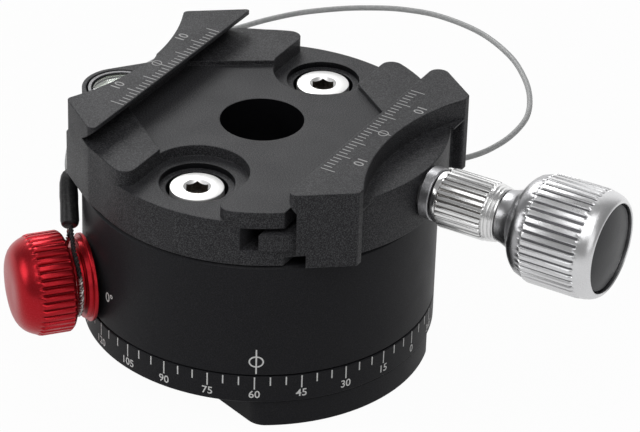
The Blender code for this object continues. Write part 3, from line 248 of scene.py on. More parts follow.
def circle(radius: float, height: float, count: int) -> list[Place]:
    """Return a plain loop of points about Z."""
    return [(radius * math.cos(math.tau * k / count), radius * math.sin(math.tau * k / count), height)
            for k in range(count)]


def knurl(radius: float, depth: float, height: float, ridges: int) -> list[Place]:
    """Return a loop with flat-crowned ridges and narrow round-edged grooves.

    Args:
        radius: Radius over the crests.
        depth: Depth of the grooves; 0 gives a plain loop.
        height: Place along the axis.
        ridges: Number of ridges.

    Returns:
        Nine points for each ridge.
    """
    rib_shares = ((0.0, 1.0), (0.08, 0.97), (0.15, 0.72), (0.21, 0.22), (0.29, 0.0), (0.71, 0.0),
                  (0.79, 0.22), (0.85, 0.72), (0.92, 0.97))
    points = []
    for k in range(ridges):
        for along, sunk in rib_shares:
            angle = math.tau * (k + along) / ridges
            reach = radius - depth * sunk
            points.append((reach * math.cos(angle), reach * math.sin(angle), height))
    return points


def lofted(loops: list[list[Place]], closed: bool) -> bmesh.types.BMesh:
    """Skin loops of equal counts one to the next.

    Args:
        loops: Loops of points in order.
        closed: True joins the last loop to the first, or else both get a cap.

    Returns:
        The solid.
    """
    bm = bmesh.new()
    rims = [[bm.verts.new(point) for point in loop] for loop in loops]
    pairs = list(zip(rims, rims[1:])) + ([(rims[-1], rims[0])] if closed else [])
    for one, other in pairs:
        for k, point in enumerate(one):
            bm.faces.new((one[k - 1], point, other[k], other[k - 1]))
    if not closed:
        bm.faces.new(rims[0])
        bm.faces.new(rims[-1])
    return bm


def ribbed(sections: list[Section], ridges: int, closed: bool) -> bmesh.types.BMesh:
    """Skin a knurled turning about Z from its sections, with capped ends unless it is closed."""
    return lofted([knurl(radius, depth, along, ridges) for radius, depth, along in sections], closed)


def swept(path: list[Vector], radius: float, sides: int, lobes: int = 0, lobe_depth: float = 0.0,
          lay: float = 0.0) -> bmesh.types.BMesh:
    """Sweep a round or lobed section along a path, with capped ends.

    Args:
        path: Points of the centreline.
        radius: Radius over the lobes.
        sides: Points round the section.
        lobes: Number of strands that show.
        lobe_depth: Depth between two strands.
        lay: Length in which the strands turn once, or 0.

    Returns:
        The solid.
    """
    loops = []
    side = Vector((0, 0, 1)).cross(path[1] - path[0]).normalized()
    travelled = 0.0
    for k, point in enumerate(path):
        ahead = path[min(k + 1, len(path) - 1)]
        behind = path[max(k - 1, 0)]
        along = (ahead - behind).normalized()
        side = (side - along * side.dot(along)).normalized()
        across = along.cross(side)
        travelled += (point - behind).length if k else 0.0
        turn = math.tau * travelled / lay if lay else 0.0
        loop = []
        for step in range(sides):
            angle = math.tau * step / sides
            reach = radius - lobe_depth * (0.5 - 0.5 * math.cos(lobes * angle)) ** 2 if lobes else radius
            outward = side * math.cos(angle + turn) + across * math.sin(angle + turn)
            loop.append(tuple(point + reach * outward))
        loops.append(loop)
    return lofted(loops, False)


def curved_route(route: list[Place], count: int) -> list[Vector]:
    """Return evenly shared points on a Catmull-Rom curve through a route.

    Args:
        route: Chosen points.
        count: Number of points to return.

    Returns:
        The points on the curve.
    """
    points = [Vector(point) for point in route]
    padded = [2 * points[0] - points[1]] + points + [2 * points[-1] - points[-2]]
    result = []
    for k in range(count):
        place = k * (len(points) - 1) / (count - 1)
        i = min(int(place), len(points) - 2)
        t = place - i
        a, b, c, d = padded[i:i + 4]
        result.append(0.5 * ((2 * b) + (c - a) * t + (2 * a - 5 * b + 4 * c - d) * t ** 2
                             + (3 * b - a - 3 * c + d) * t ** 3))
    return result


def lettering(words: str, height: float, boldness: float = 0.0) -> bmesh.types.BMesh:
    """Return flat lettering that is centred on the origin and reads from +Z.

    Args:
        words: Digits to write.
        height: Height of a digit.
        boldness: Outward offset of the strokes.

    Returns:
        The letters as a thin solid of ink.
    """
    digit_share = 0.69
    curve = bpy.data.curves.new("lettering", "FONT")
    curve.body = words
    curve.size = height / digit_share
    curve.align_x = "CENTER"
    curve.align_y = "CENTER"
    curve.extrude = INK / 2
    curve.offset = boldness
    curve.resolution_u = 6
    holder = bpy.data.objects.new("lettering", curve)
    bpy.context.scene.collection.objects.link(holder)
    bpy.context.view_layer.update()
    mesh = bpy.data.meshes.new_from_object(holder.evaluated_get(bpy.context.evaluated_depsgraph_get()))
    bm = bmesh.new()
    bm.from_mesh(mesh)
    bpy.data.objects.remove(holder, do_unlink=True)
    bpy.data.meshes.remove(mesh)
    return bm


def merged(parts: list[bmesh.types.BMesh]) -> bmesh.types.BMesh:
    """Return one mesh that holds all the parts.

    Args:
        parts: Meshes, which are used up.

    Returns:
        The whole.
    """
    whole = bmesh.new()
    for part in parts:
        mesh = bpy.data.meshes.new("part")
        part.to_mesh(mesh)
        part.free()
        whole.from_mesh(mesh)
        bpy.data.meshes.remove(mesh)
    return whole


def wrapped(bm: bmesh.types.BMesh, azimuth: float, height: float, radius: float) -> bmesh.types.BMesh:
    """Wrap flat ink round the pan axis, x to the right as it is read from outside.

    Args:
        bm: Flat ink about the origin.
        azimuth: Azimuth of its middle in radians.
        height: Height of its middle.
        radius: Radius of the wall.

    Returns:
        The same mesh, wrapped.
    """
    for vert in bm.verts:
        angle = azimuth + vert.co.x / radius
        reach = radius + vert.co.z
        vert.co = (reach * math.cos(angle), reach * math.sin(angle), height + vert.co.y)
    return bm


class Workpiece:
    """A solid under construction, in millimetres until it is mounted."""

    def __init__(self, name: str, bm: bmesh.types.BMesh) -> None:
        """Start from a mesh.

        Args:
            name: Name of the finished piece.
            bm: Its first form.
        """
        bmesh.ops.recalc_face_normals(bm, faces=bm.faces)
        mesh = bpy.data.meshes.new(name)
        bm.to_mesh(mesh)
        bm.free()
        self.item = bpy.data.objects.new(name, mesh)
        bpy.context.scene.collection.objects.link(self.item)

    def combine(self, tool: bmesh.types.BMesh, operation: str) -> None:
        """Apply one Boolean with a tool that is then thrown away.

        Args:
            tool: The tool's mesh.
            operation: DIFFERENCE or UNION.
        """
        other = Workpiece("tool", tool)
        modifier = self.item.modifiers.new("tool", "BOOLEAN")
        modifier.operation = operation
        modifier.object = other.item
        modifier.solver = "EXACT"
        bpy.context.view_layer.update()
        done = bpy.data.meshes.new_from_object(self.item.evaluated_get(bpy.context.evaluated_depsgraph_get()))
        self.item.modifiers.clear()
        self.item.data = done
        bpy.data.objects.remove(other.item, do_unlink=True)

    def cut(self, *tools: bmesh.types.BMesh) -> None:
        """Take the tools' forms away, one after the other."""
        for tool in tools:
            self.combine(tool, "DIFFERENCE")

    def join(self, tool: bmesh.types.BMesh) -> None:
        """Add the tool's form."""
        self.combine(tool, "UNION")

    def paint(self, finish: bpy.types.Material, centre: Point, reach: Point, heights: Point,
              axis: Axis = Axis.PAN) -> None:
        """Give the faces inside a tube another finish, after mounting.

        Args:
            finish: The other finish.
            centre: Middle of the tube, across the axis.
            reach: Its inner and outer radius.
            heights: Places along the axis that the faces' middles lie between.
            axis: Axis that the tube runs along.
        """
        to_axis = axis.matrix().inverted()
        mesh = self.item.data
        if mesh.materials.find(finish.name) < 0:
            mesh.materials.append(finish)
        index = mesh.materials.find(finish.name)
        for face in mesh.polygons:
            middle = to_axis @ (face.center / MM)
            away = (middle.xy - Vector(centre)).length
            if reach[0] <= away < reach[1] and heights[0] < middle.z < heights[1]:
                face.material_index = index

    def dress(self, finish: bpy.types.Material, edge: float = 0.0, segments: int = 3) -> None:
        """Clean the mesh, bring it to metres, round its edges and give it its finish.

        Args:
            finish: Its material.
            edge: Width of the rounded edges, or 0.
            segments: Steps across a rounded edge.
        """
        bm = bmesh.new()
        bm.from_mesh(self.item.data)
        bmesh.ops.remove_doubles(bm, verts=bm.verts, dist=MERGE)
        bmesh.ops.scale(bm, vec=(MM, MM, MM), verts=bm.verts)
        bmesh.ops.recalc_face_normals(bm, faces=bm.faces)
        bm.to_mesh(self.item.data)
        bm.free()
        mesh = self.item.data
        mesh.shade_smooth()
        mesh.materials.clear()
        mesh.materials.append(finish)
        if edge:
            bevel = self.item.modifiers.new("rounded_edges", "BEVEL")
            bevel.width = edge * MM
            bevel.segments = segments
            bevel.limit_method = "ANGLE"
            bevel.angle_limit = ROUND_FROM
            bevel.harden_normals = True
            bevel.use_clamp_overlap = False
            bevel.miter_outer = "MITER_ARC"
        else:
            mesh.set_sharp_from_angle(angle=SHARP_FROM)

    def mount(self, body: Body, finish: bpy.types.Material, nodes: tuple[str, ...] = (), edge: float = 0.0,
              segments: int = 3) -> bpy.types.Object:
        """Dress the piece and put it on its body.

        Args:
            body: Body that it rides on.
            finish: Its material.
            nodes: Nodes of the frame that it stands for.
            edge: Width of the rounded edges, or 0.
            segments: Steps across a rounded edge.

        Returns:
            The finished object.
        """
        self.dress(finish, edge, segments)
        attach(self.item, body.value)
        if nodes:
            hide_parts(*nodes)
        LOG.info("%s on %s", self.item.name, body.value)
        return self.item

    def span(self, bodies: tuple[Body, Body], ends: tuple[Place, Place], finish: bpy.types.Material,
             node: str) -> bpy.types.Object:
        """Dress the piece, bake its place into its mesh and hide the node that it stands for.

        Args:
            bodies: Body at the first end and body at the second; not used.
            ends: Places where it follows each of them in full; not used.
            finish: Its material.
            node: Node of the frame that it stands for.

        Returns:
            The finished object.
        """
        self.dress(finish)
        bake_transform(self.item)
        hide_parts(node)
        return self.item


class Graph:
    """A node tree with a short way to add, set and join its nodes."""

    def __init__(self, tree: bpy.types.NodeTree) -> None:
        """Hold a tree."""
        self.tree = tree

    def feed(self, node: bpy.types.Node, inputs: dict[str | int, object]) -> None:
        """Set a node's inputs.

        Args:
            node: The node.
            inputs: For each input, its value or the socket that it is linked from.
        """
        for key, value in inputs.items():
            if isinstance(value, bpy.types.NodeSocket):
                self.tree.links.new(value, node.inputs[key])
            else:
                node.inputs[key].default_value = value

    def add(self, kind: str, inputs: dict[str | int, object], **options: object) -> bpy.types.Node:
        """Add a node.

        Args:
            kind: Its type.
            inputs: For each input, its value or the socket that it is linked from.
            options: Settings of the node itself.

        Returns:
            The node.
        """
        node = self.tree.nodes.new(kind)
        for name, value in options.items():
            setattr(node, name, value)
        self.feed(node, inputs)
        return node

    def compute(self, operation: str, *values: object) -> bpy.types.NodeSocket:
        """Return the result of a math node on values or sockets."""
        return self.add("ShaderNodeMath", dict(enumerate(values)), operation=operation).outputs["Value"]


class Effects:
    """Shader node groups that several finishes share, each made once."""

    @staticmethod
    def blank(name: str, inputs: dict[str, float], outputs: tuple[str, ...]) -> tuple:
        """Return a new group with its sockets and its two end nodes.

        Args:
            name: Name of the group.
            inputs: Names and default values of its inputs, apart from Position.
            outputs: Names of its outputs.

        Returns:
            The group's graph, the sockets that bring its inputs and the node that takes its outputs.
        """
        group = bpy.data.node_groups.new(name, "ShaderNodeTree")
        for title, value in inputs.items():
            socket = group.interface.new_socket(name=title, in_out="INPUT", socket_type="NodeSocketFloat")
            socket.default_value = value
        group.interface.new_socket(name="Position", in_out="INPUT", socket_type="NodeSocketVector")
        for title in outputs:
            group.interface.new_socket(name=title, in_out="OUTPUT", socket_type="NodeSocketFloat")
        return Graph(group), group.nodes.new("NodeGroupInput").outputs, group.nodes.new("NodeGroupOutput")

    @staticmethod
    @cache
    def blasted_grain() -> bpy.types.ShaderNodeTree:
        """Return the group that draws the fine grain of a bead-blasted face.

        Returns:
            A group with a height and a mask of flecks.
        """
        graph, inlet, outlet = Effects.blank(
            "blasted_grain", {"Grains per metre": 5000.0}, ("Height", "Flecks"))
        fine = graph.add("ShaderNodeTexNoise", {
            "Vector": inlet["Position"], "Scale": inlet["Grains per metre"], "Detail": 3.0,
            "Roughness": 0.65})
        spread = graph.add("ShaderNodeMapRange", {
            "Value": fine.outputs["Fac"], "From Min": 0.44, "From Max": 0.66})
        graph.feed(outlet, {"Height": fine.outputs["Fac"], "Flecks": spread.outputs["Result"]})
        return graph.tree

    @staticmethod
    @cache
    def handling_marks() -> bpy.types.ShaderNodeTree:
        """Return the group that draws broad uneven patches, as handling and anodising leave them.

        Returns:
            A group with one mask.
        """
        graph, inlet, outlet = Effects.blank("handling_marks", {"Patches per metre": 120.0}, ("Patches",))
        broad = graph.add("ShaderNodeTexNoise", {
            "Vector": inlet["Position"], "Scale": inlet["Patches per metre"], "Detail": 4.0,
            "Distortion": 0.4})
        graph.feed(outlet, {"Patches": broad.outputs["Fac"]})
        return graph.tree

    @staticmethod
    @cache
    def lathe_lines() -> bpy.types.ShaderNodeTree:
        """Return the group that draws fine turning lines round local Z, on faces and along walls.

        Returns:
            A group with one height.
        """
        graph, inlet, outlet = Effects.blank("lathe_lines", {"Lines per metre": 6000.0}, ("Height",))
        split = graph.add("ShaderNodeSeparateXYZ", {"Vector": inlet["Position"]}).outputs
        square = graph.compute("MULTIPLY", split["X"], split["X"])
        radius = graph.compute("POWER", graph.compute("MULTIPLY_ADD", split["Y"], split["Y"], square), 0.5)
        reach = graph.compute("ADD", radius, split["Z"])
        lines = graph.add("ShaderNodeTexNoise", {
            "W": reach, "Scale": inlet["Lines per metre"], "Detail": 3.0}, noise_dimensions="1D")
        graph.feed(outlet, {"Height": lines.outputs["Fac"]})
        return graph.tree


def new_material(name: str) -> tuple[bpy.types.Material, Graph, bpy.types.Node]:
    """Make a node material.

    Args:
        name: Its name.

    Returns:
        The material, its graph and its Principled node.
    """
    material = bpy.data.materials.new(name)
    material.use_nodes = True
    graph = Graph(material.node_tree)
    return material, graph, graph.tree.nodes["Principled BSDF"]


@dataclass(frozen=True)
class Finish:
    """A procedural finish: two tones, grain, turning lines and uneven gloss.

    Attributes:
        gloss: Roughness, and how far it strays to both sides.
        grain: Grains per metre, and their depth.
        turning: Turning lines per metre, and their depth.
        axis: Axis that the lines run round.
        coat: Weight and roughness of a clear coat.
        edge_radius: Radius of edges that only the shading rounds, or 0.
    """

    name: str
    colour: Colour
    fleck: Colour
    metallic: float = 0.0
    gloss: Point = (0.4, 0.06)
    grain: Point = (5000.0, 0.02)
    turning: Point = (6000.0, 0.0)
    axis: Axis = Axis.PAN
    specular: float = 0.5
    coat: Point = (0.0, 0.1)
    edge_radius: float = 0.0

    def build(self) -> bpy.types.Material:
        """Return the material of this finish.

        Returns:
            A node material whose colour, roughness and normal vary over the surface.
        """
        material, graph, shader = new_material(self.name)
        place = graph.add("ShaderNodeTexCoord", {}).outputs["Object"]
        grain = graph.add("ShaderNodeGroup", {"Grains per metre": self.grain[0], "Position": place},
                          node_tree=Effects.blasted_grain()).outputs
        marks = graph.add("ShaderNodeGroup", {"Position": place}, node_tree=Effects.handling_marks()).outputs
        tone = graph.add("ShaderNodeMix", {
            "A": (*self.colour, 1.0), "B": (*self.fleck, 1.0), "Factor": grain["Flecks"]}, data_type="RGBA")
        roughness, stray = self.gloss
        gloss = graph.add("ShaderNodeMapRange", {
            "Value": marks["Patches"], "From Min": 0.3, "From Max": 0.7,
            "To Min": max(roughness - stray, 0.02), "To Max": roughness + stray})
        bump = graph.add("ShaderNodeBump", {"Distance": self.grain[1] * MM, "Height": grain["Height"]})
        if self.edge_radius:
            rounded = graph.add("ShaderNodeBevel", {"Radius": self.edge_radius * MM}, samples=6)
            graph.feed(bump, {"Normal": rounded.outputs["Normal"]})
        if self.turning[1]:
            graph.feed(bump, {"Normal": self.turning_lines(graph, place)})
        graph.feed(shader, {
            "Base Color": tone.outputs["Result"], "Metallic": self.metallic,
            "Roughness": gloss.outputs["Result"], "Specular IOR Level": self.specular,
            "Coat Weight": self.coat[0], "Coat Roughness": self.coat[1], "Normal": bump.outputs["Normal"]})
        return material

    def turning_lines(self, graph: Graph, place: bpy.types.NodeSocket) -> bpy.types.NodeSocket:
        """Return the normal of a turned face, to lie under the grain.

        Args:
            graph: Graph of the material.
            place: Socket of the place on the piece.

        Returns:
            The normal's socket.
        """
        lines, depth = self.turning
        stand = self.axis.matrix()
        inverse = Matrix.LocRotScale(stand.to_translation() * MM, stand.to_3x3(), None).inverted()
        mapping = graph.add("ShaderNodeMapping", {
            "Location": inverse.to_translation(), "Rotation": inverse.to_euler(), "Vector": place})
        drawn = graph.add("ShaderNodeGroup", {
            "Lines per metre": lines, "Position": mapping.outputs["Vector"]}, node_tree=Effects.lathe_lines())
        under = graph.add("ShaderNodeBump", {"Distance": depth * MM, "Height": drawn.outputs["Height"]})
        return under.outputs["Normal"]


@dataclass(frozen=True)
class GlassFinish:
    """Clear glass with a fine ripple."""

    name: str
    colour: Colour
    roughness: float = 0.03
    refraction: float = 1.49
    ripple_depth: float = 0.01

    def build(self) -> bpy.types.Material:
        """Return the glass material.

        Returns:
            A node material that lets light through.
        """
        material, graph, shader = new_material(self.name)
        place = graph.add("ShaderNodeTexCoord", {}).outputs["Object"]
        marks = graph.add("ShaderNodeGroup", {"Position": place}, node_tree=Effects.handling_marks())
        ripple = graph.add("ShaderNodeBump", {
            "Distance": self.ripple_depth * MM, "Height": marks.outputs["Patches"]})
        graph.feed(shader, {
            "Base Color": (*self.colour, 1.0), "Roughness": self.roughness, "Transmission Weight": 1.0,
            "IOR": self.refraction, "Normal": ripple.outputs["Normal"]})
        return material


@dataclass
class Finishes:
    """Every finish of the head, each built when it is first asked for."""

    blasted: Finish = Finish(
        "black_blasted", (0.014, 0.014, 0.016), (0.090, 0.090, 0.095), gloss=(0.46, 0.05),
        grain=(5200.0, 0.040), specular=0.17, edge_radius=0.32)
    drum_black: Finish = Finish(
        "black_drum", (0.014, 0.014, 0.016), (0.028, 0.028, 0.031), gloss=(0.42, 0.04), grain=(6500.0, 0.012),
        turning=(9000.0, 0.004), specular=0.09)
    # Painted shade: a near-black copy of the drum's finish for the insides of bores, wells and counterbores
    bore_painted_shade: Finish = Finish(
        "bore_painted_shade", (0.004, 0.004, 0.005), (0.008, 0.008, 0.009), gloss=(0.30, 0.04), grain=(6500.0, 0.012),
        turning=(9000.0, 0.004), specular=0.2)
    red: Finish = Finish(
        "red_anodised", (0.40, 0.010, 0.016), (0.47, 0.022, 0.034), metallic=0.9, gloss=(0.30, 0.05),
        grain=(6500.0, 0.006), turning=(9000.0, 0.004), axis=Axis.INDEX)
    # Painted shade: a darker red for the deep faces of the red knob's knurl
    red_groove_painted_shade: Finish = Finish(
        "red_groove_painted_shade", (0.12, 0.002, 0.004), (0.18, 0.006, 0.010), metallic=0.9, gloss=(0.38, 0.05),
        grain=(6500.0, 0.006))
    satin: Finish = Finish(
        "satin_aluminium", (0.74, 0.74, 0.75), (0.82, 0.82, 0.83), metallic=1.0, gloss=(0.30, 0.04),
        grain=(6500.0, 0.006), turning=(9000.0, 0.006), axis=Axis.CLAMP)
    # Painted shade: a darker copy of the satin finish for the knob's bell
    neck_satin_painted_shade: Finish = Finish(
        "neck_satin_painted_shade", (0.40, 0.40, 0.41), (0.48, 0.48, 0.49), metallic=1.0, gloss=(0.27, 0.04),
        grain=(6500.0, 0.006), turning=(9000.0, 0.006), axis=Axis.CLAMP)
    # Painted shade: a dark grey for the deep faces of the clamp knob's knurl
    knob_groove_painted_shade: Finish = Finish(
        "knob_groove_painted_shade", (0.16, 0.16, 0.17), (0.24, 0.24, 0.25), metallic=1.0, gloss=(0.42, 0.05),
        grain=(6500.0, 0.006))
    chrome: Finish = Finish(
        "polished_sleeve", (0.86, 0.86, 0.86), (0.92, 0.92, 0.92), metallic=1.0, gloss=(0.20, 0.03),
        grain=(3000.0, 0.001), turning=(7000.0, 0.002), axis=Axis.CLAMP)
    # Painted shade: a dark steel for the deep faces of the sleeve's knurl
    sleeve_groove_painted_shade: Finish = Finish(
        "sleeve_groove_painted_shade", (0.20, 0.19, 0.18), (0.30, 0.29, 0.28), metallic=1.0, gloss=(0.34, 0.05),
        grain=(3000.0, 0.004))
    steel: Finish = Finish(
        "bright_steel", (0.86, 0.86, 0.85), (0.93, 0.93, 0.92), metallic=1.0, gloss=(0.22, 0.04),
        grain=(3000.0, 0.003))
    screw_steel: Finish = Finish(
        "screw_steel", (0.94, 0.94, 0.93), (0.98, 0.98, 0.97), metallic=0.7, gloss=(0.40, 0.04),
        grain=(3000.0, 0.003))
    # Painted shade: a dark steel for the screws' hex sockets
    socket_painted_shade: Finish = Finish(
        "socket_painted_shade", (0.10, 0.09, 0.08), (0.20, 0.18, 0.16), metallic=1.0, gloss=(0.35, 0.05),
        grain=(3000.0, 0.02))
    dull_steel: Finish = Finish(
        "dull_steel", (0.30, 0.30, 0.31), (0.42, 0.42, 0.43), metallic=1.0, gloss=(0.38, 0.06),
        grain=(3000.0, 0.01))
    brass: Finish = Finish(
        "turned_brass", (0.68, 0.50, 0.22), (0.78, 0.62, 0.34), metallic=1.0, gloss=(0.32, 0.06),
        grain=(3000.0, 0.004), turning=(5000.0, 0.006))
    cap: Finish = Finish(
        "moulded_cap", (0.012, 0.013, 0.016), (0.020, 0.021, 0.025), gloss=(0.38, 0.05),
        grain=(4000.0, 0.012), specular=0.35)
    dial_ink: Finish = Finish(
        "dial_ink", (0.80, 0.80, 0.79), (0.90, 0.90, 0.89), gloss=(0.55, 0.08), grain=(9000.0, 0.01))
    ruler_ink: Finish = Finish(
        "ruler_ink", (0.46, 0.46, 0.46), (0.56, 0.56, 0.56), gloss=(0.60, 0.08), grain=(9000.0, 0.01),
        specular=0.2)
    sleeve_black: Finish = Finish(
        "shrink_sleeve", (0.012, 0.012, 0.013), (0.03, 0.03, 0.03), gloss=(0.38, 0.08), grain=(2500.0, 0.03),
        specular=0.3)
    wire: Finish = Finish(
        "coated_wire", (0.42, 0.43, 0.43), (0.52, 0.52, 0.52), gloss=(0.42, 0.05), grain=(1500.0, 0.01),
        specular=0.35)
    strand: Finish = Finish(
        "bare_strand", (0.50, 0.49, 0.47), (0.68, 0.67, 0.65), metallic=1.0, gloss=(0.28, 0.06),
        grain=(2500.0, 0.005))
    fluid: Finish = Finish(
        "level_fluid", (0.60, 0.63, 0.58), (0.70, 0.72, 0.68), gloss=(0.20, 0.04), grain=(800.0, 0.0),
        coat=(0.8, 0.1))
    level_metal: Finish = Finish(
        "level_metal", (0.10, 0.10, 0.105), (0.16, 0.16, 0.165), metallic=0.4, gloss=(0.35, 0.05),
        grain=(4000.0, 0.01))
    bubble: Finish = Finish(
        "level_bubble", (0.72, 0.78, 0.64), (0.80, 0.84, 0.74), gloss=(0.12, 0.03), grain=(800.0, 0.0))
    glass: GlassFinish = GlassFinish("level_glass", (0.93, 0.96, 0.92))
    built: dict[str, bpy.types.Material] = field(default_factory=dict)

    def get(self, name: str) -> bpy.types.Material:
        """Return the named finish's material.

        Args:
            name: Field name of the finish.

        Returns:
            Its material, made once.
        """
        if name not in self.built:
            self.built[name] = getattr(self, name).build()
        return self.built[name]


@dataclass
class Assembly:
    """A sub-assembly that takes its finishes from one shared set."""

    finishes: Finishes

    def put(self, name: str, bm: bmesh.types.BMesh, body: Body, finish: str, nodes: tuple[str, ...] = (),
            edge: float = 0.0) -> Workpiece:
        """Mount a mesh that needs no more cuts.

        Args:
            name: Name of the piece.
            bm: Its form.
            body: Body that it rides on.
            finish: Name of its finish.
            nodes: Nodes of the frame that it stands for.
            edge: Width of the rounded edges, or 0.

        Returns:
            The mounted piece, still open to paint.
        """
        piece = Workpiece(name, bm)
        piece.mount(body, self.finishes.get(finish), nodes, edge)
        return piece


@dataclass
class DialScale(Assembly):
    """Printed scale on the base's band: a mark each 5 degrees and a number under each 15."""

    zero_azimuth: float = -0.345
    mark_each: int = 5
    number_each: int = 15
    seam_z: float = 10.05
    top_margin: float = 0.12
    long_mark: float = 2.49
    short_mark: float = 1.74
    width: float = 0.22
    digit_height: float = 1.35
    digit_drop: float = 3.55
    boldness: float = 0.02

    def build(self) -> None:
        """Print the marks and numbers."""
        marks = []
        numbers = []
        half = self.width / 2
        for angle in range(0, 360, self.mark_each):
            azimuth = math.radians(self.zero_azimuth - angle)
            numbered = angle % self.number_each == 0
            length = self.long_mark if numbered else self.short_mark
            mark = block((-half, -length, -INK / 2), (half, -self.top_margin, INK / 2))
            marks.append(wrapped(mark, azimuth, self.seam_z, DRUM_RADIUS))
            if numbered:
                digits = lettering(str(angle), self.digit_height, self.boldness)
                numbers.append(wrapped(digits, azimuth, self.seam_z - self.digit_drop, DRUM_RADIUS))
        self.put("degree_marks", merged(marks), Body.BASE, "dial_ink")
        self.put("degree_numbers", merged(numbers), Body.BASE, "dial_ink")


@dataclass
class Base(Assembly):
    """Scale band on a foot with two flat sides, with the pivot that the drum turns on."""

    top: float = 10.05
    band_bottom: float = 4.95
    foot_radius: float = 29.6
    foot_half_width: float = 19.0
    foot_corner: float = 3.5
    foot_azimuth: float = math.radians(-20.0)
    shoulder_radius: float = 15.0
    shoulder_top: float = 18.3
    pivot_radius: float = 11.0
    pivot_top: float = 26.6
    pivot_bore: float = 5.3
    bushing_radius: float = 7.0
    bushing_length: float = 8.0
    bushing_bore: float = 4.2
    thread_pitch: float = 1.5875
    thread_depth: float = 0.55
    thread_start: float = 0.4
    crest_shares: Point = (0.45, 0.55)
    screw_circle: float = 17.5
    screw_head: float = 2.3
    screw_seat: float = 3.1
    screws: int = 3
    edge: float = 0.3

    def foot_outline(self) -> list[Point]:
        """Return the foot's plan: a disc with two flat sides and rounded corners.

        Returns:
            A closed outline.
        """
        centre_y = self.foot_half_width - self.foot_corner
        centre_x = math.sqrt((self.foot_radius - self.foot_corner) ** 2 - centre_y ** 2)
        corner_angle = math.atan2(centre_y, centre_x)
        quarter = arc((0, 0), self.foot_radius, 0, corner_angle, 40)
        quarter += arc((centre_x, centre_y), self.foot_corner, corner_angle, math.pi / 2, 14)[1:]
        outline = mirrored(quarter + [(-x, y) for x, y in reversed(quarter)])
        turn = Matrix.Rotation(self.foot_azimuth, 2)
        return [tuple(turn @ Vector(point)) for point in outline]

    def build(self) -> None:
        """Make the base and its threaded bushing."""
        pivot = [(0, self.pivot_top), (self.pivot_radius, self.pivot_top),
                 (self.pivot_radius, self.shoulder_top), (self.shoulder_radius, self.shoulder_top),
                 (self.shoulder_radius, self.top), (DRUM_RADIUS, self.top), (DRUM_RADIUS, self.band_bottom),
                 (0, self.band_bottom)]
        piece = Workpiece("scale_base", turned(pivot, 200))
        piece.join(extruded(self.foot_outline(), 0, self.band_bottom + GAP))
        seat = self.bushing_radius + GAP
        seat_top = self.bushing_length + 2 * GAP
        piece.cut(turned([(0, FAR), (self.pivot_bore, FAR), (self.pivot_bore, seat_top), (seat, seat_top),
                          (seat, -OVERRUN), (0, -OVERRUN)], 64))
        start = self.foot_azimuth
        for x, y in arc((0, 0), self.screw_circle, start, start + math.tau, self.screws)[:-1]:
            piece.cut(moved(rod(self.screw_head + GAP, -OVERRUN, self.screw_seat, 32), (x, y, 0)))
        piece.mount(Body.BASE, self.finishes.get("drum_black"), ("base_plate",), self.edge)
        self.build_bushing()

    def build_bushing(self) -> None:
        """Make the tripod bushing with its thread's grooves."""
        top = GAP + self.bushing_length
        root = self.bushing_bore + self.thread_depth
        profile = [(self.bushing_radius, top), (self.bushing_radius, GAP), (root, GAP)]
        for k in range(int(self.bushing_length / self.thread_pitch)):
            z = GAP + self.thread_start + k * self.thread_pitch
            profile.append((root, z))
            profile += [(self.bushing_bore, z + self.thread_pitch * share) for share in self.crest_shares]
        profile.append((self.bushing_bore, top))
        self.put("threaded_bushing", turned(profile, 96), Body.BASE, "steel", ("tripod_bushing",))


